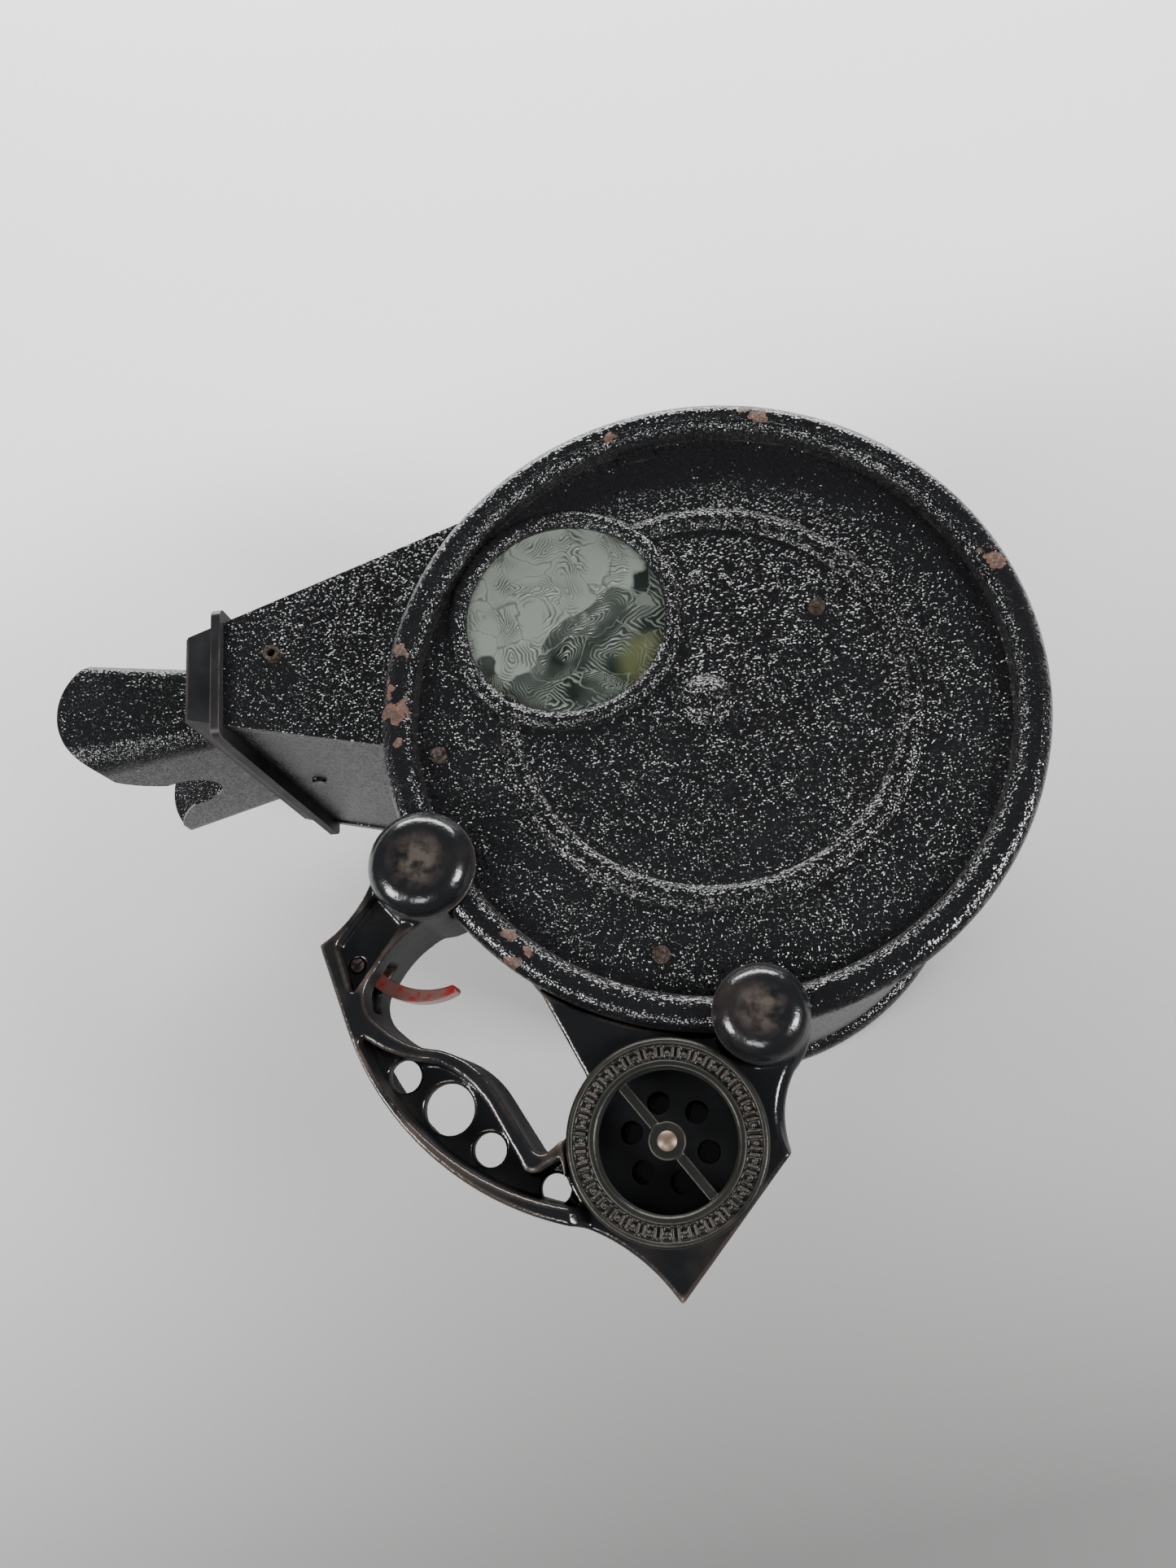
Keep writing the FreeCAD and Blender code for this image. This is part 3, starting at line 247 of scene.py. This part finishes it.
def cover_finish(name, height):
    """Pebbled japan with rust where the rim has been knocked, at the given height."""
    material = pebbled(name, pebble_size, pebble_depth, 0.9, 0.42)
    tree = material.node_tree
    shader = tree.nodes["Principled BSDF"]
    where = object_place(tree)
    nearness = 0.0
    for angle, radius, reach in rust_places:
        turn = math.radians(angle)
        spot = drum_axis + Vector((radius * math.cos(turn), radius * math.sin(turn), 0.0))
        spot.z = height
        gap = vectors(tree, "DISTANCE", where, spot)
        nearness = maths(tree, "MAXIMUM", spread(tree, gap, reach, 0.2 * reach), nearness)
    flakes = cloud(tree, where, 150.0, 5.0)
    edge = maths(tree, "MULTIPLY", nearness, spread(tree, flakes, 0.40, 0.62, 0.15, 1.0))
    bare = spread(tree, edge, 0.42, 0.50)
    rust = tinted(tree, spread(tree, cloud(tree, where, 420.0, 3.0), 0.35, 0.6), rust_dark, rust_brown)
    paint = shader.inputs["Base Color"].links[0].from_socket
    sheen = shader.inputs["Roughness"].links[0].from_socket
    tree.links.new(tinted(tree, bare, paint, rust), shader.inputs["Base Color"])
    dull = maths(tree, "ADD", sheen, maths(tree, "MULTIPLY", bare, 0.45))
    tree.links.new(dull, shader.inputs["Roughness"])
    bump = shader.inputs["Normal"].links[0].from_node
    grain = bump.inputs["Height"].links[0].from_socket
    outward = vectors(tree, "SUBTRACT", where, drum_axis)
    from_axis = vectors(tree, "LENGTH", vectors(tree, "MULTIPLY", outward, (1.0, 1.0, 0.0)))
    thinned = spread(tree, from_axis, rim_start * rim_reach, rim_end * rim_reach, 1.0, rim_grain)
    tree.links.new(maths(tree, "MULTIPLY", grain, thinned), bump.inputs["Height"])
    return material


dress(cover_finish("near cover japan", rim_top), "near_cover")
dress(cover_finish("far cover japan", 0.0), "far_cover")

# Window glass: a round pane with a glue chipped face that spreads the light, one in each cover.
# The glue tore oval scrolls and ferns out of the face; spring clips hold the pane under the cover.
# Painted light and shade: the pale tone is painted reflection, the line tone painted shade in the torn
# creases, the dark tone painted shade, and the stroke tone painted light on its ridges.
glass_painted_light = (0.215, 0.238, 0.212, 1.0)
glass_painted_crease_shade = (0.058, 0.068, 0.057, 1.0)
glass_painted_shade = (0.011, 0.016, 0.013, 1.0)
glass_painted_ridge_light = (0.190, 0.215, 0.185, 1.0)
glass_moss = (0.105, 0.115, 0.045, 1.0)
chip_depth = 0.00036
chip_rings = 150
chip_turns = 450
chip_count = 30
chip_seed = 7
chip_spacing = 0.0105
crease_width = 0.0009
bowl_width = 0.004
painted_dim_start = 0.003
painted_dim_edge = 0.006
moss_place = (0.031, -0.022, 0.0)
pane_low, pane_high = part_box("near_glass")
pane_centre = (pane_low + pane_high) / 2
pane_radius = (pane_high.x - pane_low.x) / 2
pane_thickness = pane_high.z - pane_low.z

chance = random.Random(chip_seed)
noise.seed_set(chip_seed)
scrolls = []
while len(scrolls) < chip_count:
    spot = Vector((chance.uniform(-1, 1), chance.uniform(-1, 1))) * pane_radius
    if all((spot - other["spot"]).length > chip_spacing for other in scrolls):
        # Flakes towards the lower right get painted shade, from 0 to 1, with a ragged edge.
        slant = 0.45 * spot.x - 0.89 * spot.y - painted_dim_start
        scrolls.append({
            "spot": spot,
            "turn": Matrix.Rotation(chance.uniform(0, math.pi), 2),
            "slim": chance.uniform(1.5, 2.6),
            "pitch": chance.uniform(0.0015, 0.0025),
            "fern": chance.random() < 0.45,
            "tilt": chance.uniform(-0.12, 0.12),
            "painted_dim": min(max((slant + chance.uniform(-painted_dim_edge, painted_dim_edge)) / painted_dim_edge, 0.0), 1.0),
        })


def chip_tear(spot):
    """How deep the glue tore the face, from 0 to 1, and how much painted shade the flake gets: arcs, ferns
    and creases.
    """
    slow = noise.noise_vector(Vector((spot.x * 60, spot.y * 60, 3.0))) * 0.0050
    quick = noise.noise_vector(Vector((spot.x * 300, spot.y * 300, 7.0))) * 0.0012
    moved = spot + slow.xy + quick.xy
    nearest = second = 1.0
    for scroll in scrolls:
        across = scroll["turn"] @ (moved - scroll["spot"])
        far = math.hypot(across.x, across.y * scroll["slim"])
        if far < nearest:
            nearest, second, chosen, place = far, nearest, scroll, across
        elif far < second:
            second = far
    if chosen["fern"]:
        wave = (place.x * 0.8 + abs(place.y) * 1.1) / chosen["pitch"]
    else:
        wave = nearest / chosen["pitch"]
    tremor = noise.noise(Vector((spot.x * 230, spot.y * 230, 9.0)))
    line = (0.5 + 0.5 * math.cos(2 * math.pi * (wave + 0.3 * tremor))) ** 3
    swell = noise.noise(Vector((spot.x * 110, spot.y * 110, 5.0)))
    broken = min(max(0.30 + 2.0 * swell + 0.3 * chosen["fern"] + 0.3 * chosen["painted_dim"], 0.0), 1.0)
    crease = max(1.0 - (second - nearest) / crease_width, 0.0)
    bowl = (0.12 + chosen["tilt"]) * min((second - nearest) / bowl_width, 1.0)
    return max(broken * line, 0.8 * crease) + bowl, chosen["painted_dim"]


def chipped_pane():
    """Pane of glass turned from half its section, its outer face chipped."""
    pane = bmesh.new()
    profile = [pane.verts.new((0, 0, -pane_thickness)), pane.verts.new((pane_radius, 0, -pane_thickness))]
    for ring in range(chip_rings, -1, -1):
        profile.append(pane.verts.new((pane_radius * ring / chip_rings, 0, 0)))
    edges = [pane.edges.new(pair) for pair in zip(profile, profile[1:])]
    bmesh.ops.spin(pane, geom=profile + edges, axis=(0, 0, 1), cent=(0, 0, 0), angle=2 * math.pi,
                   steps=chip_turns, use_merge=True)
    bmesh.ops.remove_doubles(pane, verts=pane.verts, dist=1e-6)
    bmesh.ops.recalc_face_normals(pane, faces=pane.faces)
    tear = pane.verts.layers.float.new("tear")
    painted_dim = pane.verts.layers.float.new("painted_dim")
    for point in pane.verts:
        if point.co.z > -1e-6 and point.co.xy.length < pane_radius - 1e-4:
            point[tear], point[painted_dim] = chip_tear(point.co.xy)
            point.co.z -= chip_depth * point[tear]
    for face in pane.faces:
        face.smooth = face.calc_center_median().z > -pane_thickness / 2
    return pane


def new_piece(name, solid, material, body):
    """Makes a bmesh a piece of the object that rides on a CAD body."""
    mesh = bpy.data.meshes.new(name)
    solid.to_mesh(mesh)
    solid.free()
    piece = bpy.data.objects.new(name, mesh)
    bpy.context.scene.collection.objects.link(piece)
    mesh.materials.append(material)
    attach(piece, body)
    return piece


chipped_glass, tree, shader = finish("chipped glass with painted light and shade", glass_painted_light, 0.16)
shader.inputs["Transmission Weight"].default_value = 0.3
shader.inputs["IOR"].default_value = 1.5
where = object_place(tree)
inward = vectors(tree, "SUBTRACT", where, pane_centre)
tear = place_node(tree, "ShaderNodeAttribute", attribute_name="tear").outputs["Fac"]
painted_dim = place_node(tree, "ShaderNodeAttribute", attribute_name="painted_dim").outputs["Fac"]
# Painted shade: marked flakes and a band along the right margin take the dark tone, with painted light on the
# ridges. The rest takes the pale tone, which is painted light, with painted shade along the torn lines.
drift = maths(tree, "MULTIPLY", maths(tree, "SUBTRACT", cloud(tree, where, 60.0, 4.0), 0.5), 0.05)
margin = maths(tree, "ADD", place_node(tree, "ShaderNodeSeparateXYZ", {0: inward}).outputs[0], drift)
painted_flake_shade = maths(tree, "MULTIPLY", painted_dim, spread(tree, drift, -0.008, 0.008, 0.78, 1.0))
shade = maths(tree, "MAXIMUM", painted_flake_shade, spread(tree, margin, 0.027, 0.031))
moss = spread(tree, vectors(tree, "DISTANCE", inward, moss_place), 0.014, 0.008)
pale = tinted(tree, spread(tree, tear, 0.10, 0.95), glass_painted_light, glass_painted_crease_shade)
deep = tinted(tree, spread(tree, tear, 0.15, 0.8), glass_painted_shade, glass_painted_ridge_light)
veined = tinted(tree, shade, pale, deep)
mossed = tinted(tree, maths(tree, "MULTIPLY", moss, 0.6), veined, glass_moss)
tree.links.new(mossed, shader.inputs["Base Color"])
scratch = place_node(tree, "ShaderNodeBump",
                     {"Height": cloud(tree, where, 900.0, 3.0), "Distance": 0.00008, "Strength": 0.5})
tree.links.new(scratch.outputs[0], shader.inputs["Normal"])
near_pane = chipped_pane()
far_pane = near_pane.copy()
bmesh.ops.translate(near_pane, verts=near_pane.verts, vec=(pane_centre.x, pane_centre.y, pane_high.z))
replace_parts(new_piece("near_pane", near_pane, chipped_glass, "viewer"), "near_glass")
bmesh.ops.scale(far_pane, verts=far_pane.verts, vec=(1, 1, -1))
bmesh.ops.reverse_faces(far_pane, faces=far_pane.faces)
far_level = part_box("far_glass")[0].z
bmesh.ops.translate(far_pane, verts=far_pane.verts, vec=(pane_centre.x, pane_centre.y, far_level))
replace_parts(new_piece("far_pane", far_pane, chipped_glass, "viewer"), "far_glass")
dress(wall_japan, "glass_clips")

# Small steel: the rivets and the card stop are japanned like the sheet that they are fixed to.
# The screws, their collars, the tubular studs and the trigger's pivot are bare steel, browned by age.
steel_brown = (0.045, 0.032, 0.026, 1.0)
steel_pale = (0.150, 0.120, 0.102, 1.0)
browned_steel, tree, shader = finish("browned steel", steel_brown, 0.45, 0.75)
where = object_place(tree)
tree.links.new(tinted(tree, spread(tree, cloud(tree, where, 700.0, 3.0), 0.4, 0.65), steel_brown, steel_pale),
               shader.inputs["Base Color"])
tree.links.new(spread(tree, cloud(tree, where, 900.0, 2.0), 0.3, 0.7, 0.3, 0.6), shader.inputs["Roughness"])
dress(wall_japan, "clip_rivets", "card_stop", "floor_rivet")
dress(browned_steel, "screw_collars", "bridge_screws", "frame_screws", "tunnel_studs", "trigger_pivot")

# Reel and linkage inside the drum: turned brass and steel, a slotted hub and nine stereo cards.
# The reel turns on the axle, and the covers close all of it in.
brass_tone = (0.50, 0.36, 0.15, 1.0)
card_tone = (0.46, 0.40, 0.30, 1.0)
card_shade = (0.36, 0.30, 0.21, 1.0)
steel_grey = (0.30, 0.29, 0.28, 1.0)
worn_brass, tree, shader = finish("worn brass", brass_tone, 0.32, 1.0)
where = object_place(tree)
tree.links.new(spread(tree, cloud(tree, where, 300.0, 3.0), 0.3, 0.7, 0.24, 0.45), shader.inputs["Roughness"])
plain_steel = finish("plain steel", steel_grey, 0.4, 1.0)[0]
card_stock, tree, shader = finish("card stock", card_tone, 0.7)
where = object_place(tree)
faded = tinted(tree, cloud(tree, where, 60.0, 4.0), card_tone, card_shade)
tree.links.new(faded, shader.inputs["Base Color"])
dress(worn_brass, "far_bush", "near_bush", "axle_collar", "ratchet_wheel")
dress(plain_steel, "axle", "axle_socket", "bridge_plate", "card_hub", "far_hub_disc", "near_hub_disc")
dress(plain_steel, "pawl_arm", "pawl_pin", "pawl", "pawl_spring", "upper_rod_pin", "lower_rod_pin")
dress(plain_steel, "connecting_rod", "trigger_spring")
dress(card_stock, *[name for name in nodes if name.startswith("view_card_")])

# Tunnel: sheet folded to a tapered box, its floor plate lapped under two turned lips.
# Japanned like the drum, with slightly smaller pebbles.
tunnel_japan = pebbled("tunnel japan", 0.00086, 0.00036, 1.0, 0.5)
dress(tunnel_japan, "tunnel_body", "tunnel_floor")

# Lens box with its flange, board, two lenses and dividing septum.
# Smooth black enamel; the flange lip is rubbed through to brown steel.
enamel_black = (0.0062, 0.0066, 0.0075, 1.0)
enamel_worn = (0.070, 0.045, 0.032, 1.0)


def enamelled(name, roughness, reach, amount, spots):
    """Smooth black enamel with worn edges and dust in the surface."""
    material, tree, shader = finish(name, enamel_black, roughness)
    rub = placed_effect(tree, edge_wear, {"Reach": reach, "Amount": amount, "Break": spots})
    tree.links.new(tinted(tree, rub["Mask"], enamel_black, enamel_worn), shader.inputs["Base Color"])
    where = object_place(tree)
    haze = spread(tree, cloud(tree, where, 70.0, 4.0), 0.35, 0.7, 0.0, 0.16)
    worn_through = maths(tree, "MULTIPLY", rub["Mask"], 0.35)
    dull = maths(tree, "ADD", maths(tree, "ADD", haze, roughness), worn_through)
    side = placed_effect(tree, sides, steep_walls)["Mask"]
    tree.links.new(maths(tree, "ADD", dull, maths(tree, "MULTIPLY", side, 0.3)), shader.inputs["Roughness"])
    ripple = cloud(tree, where, 240.0, 3.0)
    bump = place_node(tree, "ShaderNodeBump", {"Height": ripple, "Distance": 0.00012, "Strength": 0.6})
    tree.links.new(bump.outputs[0], shader.inputs["Normal"])
    return material


box_enamel = enamelled("box enamel", 0.3, 0.0012, 0.47, 60.0)
dress(box_enamel, "lens_box", "tunnel_flange", "lens_rings", "septum")
board_stain = finish("stained board", (0.03, 0.02, 0.013, 1.0), 0.6)[0]
dress(board_stain, "lens_board")
lens_glass, tree, shader = finish("lens glass", (0.92, 0.95, 0.95, 1.0), 0.03)
shader.inputs["Transmission Weight"].default_value = 1.0
shader.inputs["IOR"].default_value = 1.52
dress(lens_glass, "left_lens", "right_lens")

# Hood: thin sheet shaped to the face, flanged and screwed to the lens box.
# Its japan is finer than the drum's; four round brass screw heads hold the flange.
hood_japan = pebbled("hood japan", 0.00072, 0.00027, 1.0, 0.5)
dress(hood_japan, "hood")
dress(box_enamel, "hood_flange")
dress(worn_brass, "hood_screws")

# Cast frame: one iron casting with ears, trigger arm, ribbed grip and cupped base.
# Sand cast, so every edge is round; gloss black enamel, worn brown on the edges that stand out.
frame_grain = 0.00085
frame_rounds = 7
rib_end_before = -0.135
ramp_run = Vector((0.0072, -0.0012, 0.0))
ramp_sink = 0.0003
flush_low = Vector((-0.004, -0.078))
flush_high = Vector((0.0121, -0.055))


def merged_copy(name):
    """Copy of a CAD piece's mesh with its loose triangles joined."""
    solid = bmesh.new()
    solid.from_mesh(nodes[name].data)
    bmesh.ops.remove_doubles(solid, verts=solid.verts, dist=1e-6)
    return solid


def as_cast(solid, grain, rounds):
    """Evens the shape to a fine grain, rounds it, and marks how far each point stands out as rub."""
    mesh = bpy.data.meshes.new("pattern")
    solid.to_mesh(mesh)
    solid.free()
    pattern = bpy.data.objects.new("pattern", mesh)
    bpy.context.scene.collection.objects.link(pattern)
    evened = pattern.modifiers.new("grain", "REMESH")
    evened.mode = "VOXEL"
    evened.voxel_size = grain
    rounding = pattern.modifiers.new("rounding", "SMOOTH")
    rounding.factor = 0.5
    rounding.iterations = rounds
    shaped = bpy.data.meshes.new_from_object(pattern.evaluated_get(bpy.context.evaluated_depsgraph_get()))
    bpy.data.objects.remove(pattern)
    cast = bmesh.new()
    cast.from_mesh(shaped)
    bpy.data.meshes.remove(shaped)
    rub = cast.verts.layers.float.new("rub")
    for point in cast.verts:
        stand = 0.0
        for edge in point.link_edges:
            other = edge.other_vert(point)
            stand += (point.co - other.co).normalized().dot(point.normal)
        point[rub] = stand / max(len(point.link_edges), 1)
    for _ in range(2):
        means = []
        for point in cast.verts:
            around = [edge.other_vert(point)[rub] for edge in point.link_edges]
            means.append((point[rub] + sum(around)) / (1 + len(around)))
        for point, mean in zip(cast.verts, means):
            point[rub] = mean
    for face in cast.faces:
        face.smooth = True
    return cast


rubbed, given, result = effect("rubbed", {"Start": 0.04, "End": 0.12, "Break": 60.0, "Spare": 0.4}, ["Mask"])
stand = place_node(rubbed, "ShaderNodeAttribute", attribute_name="rub").outputs["Fac"]
high_points = spread(rubbed, stand, given["Start"], given["End"])
patchy = cloud(rubbed, object_place(rubbed), given["Break"], 5.0)
kept = spread(rubbed, patchy, given["Spare"], maths(rubbed, "ADD", given["Spare"], 0.2))
rubbed.links.new(maths(rubbed, "MULTIPLY", high_points, kept), result.inputs["Mask"])
cast_brown = (0.092, 0.066, 0.050, 1.0)


def cast_enamel(name, black, brown, roughness, metallic, rub):
    """Enamel over a casting, brown on the points that stand out, with a slightly lumpy skin."""
    material, tree, shader = finish(name, black, roughness, metallic)
    mask = placed_effect(tree, rubbed, rub)["Mask"]
    where = object_place(tree)
    dust = maths(tree, "MULTIPLY", spread(tree, cloud(tree, where, 38.0, 5.0), 0.5, 0.75), 0.22)
    both = maths(tree, "MAXIMUM", mask, dust)
    tree.links.new(tinted(tree, both, black, brown), shader.inputs["Base Color"])
    side = placed_effect(tree, sides, {"Start": 0.45, "End": 0.15})["Mask"]
    dull = maths(tree, "ADD", maths(tree, "MULTIPLY", both, 0.28), maths(tree, "MULTIPLY", side, 0.42))
    tree.links.new(maths(tree, "ADD", dull, roughness), shader.inputs["Roughness"])
    fine_lumps = maths(tree, "MULTIPLY", cloud(tree, where, 700.0), 0.3)
    lumps = maths(tree, "ADD", cloud(tree, where, 170.0, 3.0), fine_lumps)
    bump = place_node(tree, "ShaderNodeBump", {"Height": lumps, "Distance": 0.00045, "Strength": 0.55})
    tree.links.new(bump.outputs[0], shader.inputs["Normal"])
    return material


frame_enamel = cast_enamel("frame enamel", enamel_black, cast_brown, 0.15, 0.0,
                           {"Start": 0.05, "End": 0.2, "Break": 45.0, "Spare": 0.38})
pattern = merged_copy("handle_frame")
base_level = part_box("cup_ring")[0].z
rib_end = [face for face in pattern.faces
           if face.normal.x > 0.99 and face.calc_center_median().y < rib_end_before
           and min(point.co.z for point in face.verts) > base_level - 1e-4]
for point in bmesh.ops.extrude_face_region(pattern, geom=rib_end)["geom"]:
    if isinstance(point, bmesh.types.BMVert):
        point.co += ramp_run
        point.co.z = base_level - ramp_sink
for point in pattern.verts:
    beside = flush_low.x < point.co.x < flush_high.x and flush_low.y < point.co.y < flush_high.y
    if beside and point.co.z > base_level:
        point.co.z = base_level
casting = new_piece("cast_frame", as_cast(pattern, frame_grain, frame_rounds), frame_enamel, "viewer")
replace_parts(casting, "handle_frame")
cup_enamel = enamelled("cup enamel", 0.25, 0.001, 0.3, 90.0)
dress(cup_enamel, "cup_floor")

# Ear caps: domed caps dished on top, seated on the ears of the casting.
# Gloss enamel over cast iron, the dish worn through to brown.
cap_enamel = cast_enamel("cap enamel", enamel_black, cast_brown, 0.19, 0.0,
                         {"Start": 0.5, "End": 0.9, "Break": 45.0, "Spare": 0.4})
tree = cap_enamel.node_tree
shader = tree.nodes["Principled BSDF"]
where = object_place(tree)
dish = 0.0
for name in ("front_ear_cap", "rear_ear_cap"):
    low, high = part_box(name)
    middle = (low + high) / 2
    middle.z = high.z
    gap = vectors(tree, "DISTANCE", where, middle)
    reach = (high.x - low.x) / 2
    dish = maths(tree, "MAXIMUM", spread(tree, gap, 0.62 * reach, 0.22 * reach), dish)
torn = maths(tree, "MULTIPLY", dish, spread(tree, cloud(tree, where, 210.0, 5.0), 0.36, 0.6))
paint = shader.inputs["Base Color"].links[0].from_socket
worn_dish = maths(tree, "MULTIPLY", torn, 0.45)
tree.links.new(tinted(tree, worn_dish, paint, cast_brown), shader.inputs["Base Color"])
gloss = shader.inputs["Roughness"].links[0].from_socket
tree.links.new(maths(tree, "ADD", gloss, maths(tree, "MULTIPLY", torn, 0.3)), shader.inputs["Roughness"])
dress(cap_enamel, "front_ear_cap", "rear_ear_cap")

# Cup ring: a cast ring with a crossbar over the cup, riveted at its middle.
# Bronze gone dark, its sunk band filled with raised bars and beads, brown on the high edges.
bronze_dark = (0.014, 0.0155, 0.0132, 1.0)
bronze_worn = (0.066, 0.051, 0.040, 1.0)
band_radius = 0.0299
band_sink = 0.0015
bar_length = 0.0037
bar_width = 0.0011
bar_height = 0.0024
bar_offset = 0.00105
bead_size = 0.00095
bead_lift = 0.0001
motifs = 32
ring_grain = 0.00038
ring_rounds = 3
ring_low, ring_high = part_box("cup_ring")
ring_centre = (ring_low + ring_high) / 2
ring = merged_copy("cup_ring")
for motif in range(motifs):
    turn = Matrix.Rotation(2 * math.pi * motif / motifs, 4, "Z")
    seat = Matrix.Translation((ring_centre.x, ring_centre.y, ring_high.z - band_sink)) @ turn
    for side in (-1, 1):
        put = seat @ Matrix.Translation((band_radius, side * bar_offset, 0.0))
        shape = Matrix.Diagonal((bar_length, bar_width, bar_height, 1.0))
        bmesh.ops.create_cube(ring, size=1.0, matrix=put @ shape)
    half = Matrix.Rotation(math.pi / motifs, 4, "Z")
    put = seat @ half @ Matrix.Translation((band_radius, 0.0, bead_lift))
    bmesh.ops.create_uvsphere(ring, u_segments=12, v_segments=8, radius=bead_size, matrix=put)
dark_bronze = cast_enamel("dark bronze", bronze_dark, bronze_worn, 0.34, 0.45,
                          {"Start": 0.03, "End": 0.16, "Break": 120.0, "Spare": 0.3})
ring_solid = as_cast(ring, ring_grain, ring_rounds)
ring_cast = new_piece("cup_ring_casting", ring_solid, dark_bronze, "viewer")
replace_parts(ring_cast, "cup_ring")
rivet_bright = (0.20, 0.14, 0.105, 1.0)
rivet_dull = (0.09, 0.065, 0.05, 1.0)
rivet_copper, tree, shader = finish("rivet", rivet_bright, 0.42, 0.5)
where = object_place(tree)
tarnish = tinted(tree, cloud(tree, where, 500.0, 3.0), rivet_bright, rivet_dull)
tree.links.new(tarnish, shader.inputs["Base Color"])
dress(rivet_copper, "cup_rivet")

# Trigger: a curved steel blade pinned in the arm, lacquered red.
# The lacquer is rubbed to a dull brown along the upper face and stays bright at the tip.
lacquer_red = (0.150, 0.010, 0.008, 1.0)
lacquer_brown = (0.082, 0.034, 0.027, 1.0)
tip_bright = 0.0022
tip_fade = 0.0042
blade_grain = 0.00034
blade_rounds = 5
red_lacquer, tree, shader = finish("red lacquer", lacquer_red, 0.28)
where = object_place(tree)
blade_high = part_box("trigger")[1]
upward = place_node(tree, "ShaderNodeSeparateXYZ",
                    {0: place_node(tree, "ShaderNodeNewGeometry").outputs["Normal"]}).outputs[2]
across = place_node(tree, "ShaderNodeSeparateXYZ", {0: where}).outputs[0]
before_tip = spread(tree, across, blade_high.x - tip_bright, blade_high.x - tip_fade)
face_rub = maths(tree, "MULTIPLY", spread(tree, upward, 0.6, 0.9), before_tip)
worn_face = maths(tree, "MULTIPLY", face_rub, spread(tree, cloud(tree, where, 330.0, 4.0), 0.3, 0.5))
tree.links.new(tinted(tree, worn_face, lacquer_red, lacquer_brown), shader.inputs["Base Color"])
tree.links.new(spread(tree, worn_face, 0.0, 1.0, 0.24, 0.5), shader.inputs["Roughness"])
blade_solid = as_cast(merged_copy("trigger"), blade_grain, blade_rounds)
blade = new_piece("trigger_blade", blade_solid, red_lacquer, "trigger")
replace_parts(blade, "trigger")

# Floor, light and camera: a pale sheet with painted shade that darkens it towards the camera, four soft boxes
# and a dim even sky. The camera stands over the drum and looks down on it, as in the photograph.
sheet_bright = (0.95, 0.95, 0.94, 1.0)
sheet_painted_shade = (0.14, 0.142, 0.138, 1.0)
sheet_half = 4.0
painted_shade_full_until = -0.31
painted_shade_ends_from = 0.36
painted_shade_direction = (-0.12, 1.0, 0.0)
floor_mesh = bpy.data.meshes.new("floor")
sheet = bmesh.new()
bmesh.ops.create_grid(sheet, x_segments=1, y_segments=1, size=sheet_half)
sheet.to_mesh(floor_mesh)
sheet.free()
floor = bpy.data.objects.new("floor", floor_mesh)
bpy.context.scene.collection.objects.link(floor)
pale_sheet, tree, shader = finish("pale sheet with painted shade", sheet_bright, 0.6)
# Painted shade: the sheet's colour goes from near white at the back to dark grey at the front.
depth = vectors(tree, "DOT_PRODUCT", object_place(tree), painted_shade_direction)
painted_shade_ramp = spread(tree, depth, painted_shade_full_until, painted_shade_ends_from)
tree.links.new(tinted(tree, painted_shade_ramp, sheet_painted_shade, sheet_bright), shader.inputs["Base Color"])
floor_mesh.materials.append(pale_sheet)
floor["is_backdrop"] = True


def soft_box(name, place, aim, width, height, power):
    """A lamp with a wide face that is turned to where it aims."""
    lamp = bpy.data.lights.new(name, "AREA")
    lamp.shape = "RECTANGLE"
    lamp.size = width
    lamp.size_y = height
    lamp.energy = power
    holder = bpy.data.objects.new(name, lamp)
    holder.location = place
    holder.rotation_euler = (Vector(aim) - Vector(place)).to_track_quat("-Z", "Y").to_euler()
    bpy.context.scene.collection.objects.link(holder)


object_middle = (0.05, 0.0, 0.15)
soft_box("left box", (-1.0, -0.45, 0.95), object_middle, 0.40, 0.50, 22.0)
soft_box("right box", (1.15, -0.40, 0.95), object_middle, 0.40, 0.50, 26.0)
soft_box("front box", (-0.25, -1.0, 1.2), object_middle, 0.5, 0.35, 8.0)
soft_box("rear box", (0.1, 1.8, 0.62), (0.1, 0.55, 0.0), 2.4, 0.45, 80.0)
sky = bpy.data.worlds.new("room light")
sky.use_nodes = True
sky.node_tree.nodes["Background"].inputs["Color"].default_value = (0.95, 0.97, 1.0, 1.0)
sky.node_tree.nodes["Background"].inputs["Strength"].default_value = 0.14
bpy.context.scene.world = sky

eye = bpy.data.cameras.new("camera")
eye.lens = 28.58
eye.sensor_width = 36.0
eye.clip_start = 0.01
eye_from_axis = Vector((-0.00775, -0.17208, 0.65285))
eye_turn = (17.113, 6.6185, -4.6)
camera = bpy.data.objects.new("camera", eye)
camera.location = drum_axis.xy.to_3d() + eye_from_axis
camera.rotation_euler = [math.radians(turn) for turn in eye_turn]
bpy.context.scene.collection.objects.link(camera)
bpy.context.scene.camera = camera

low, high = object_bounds()
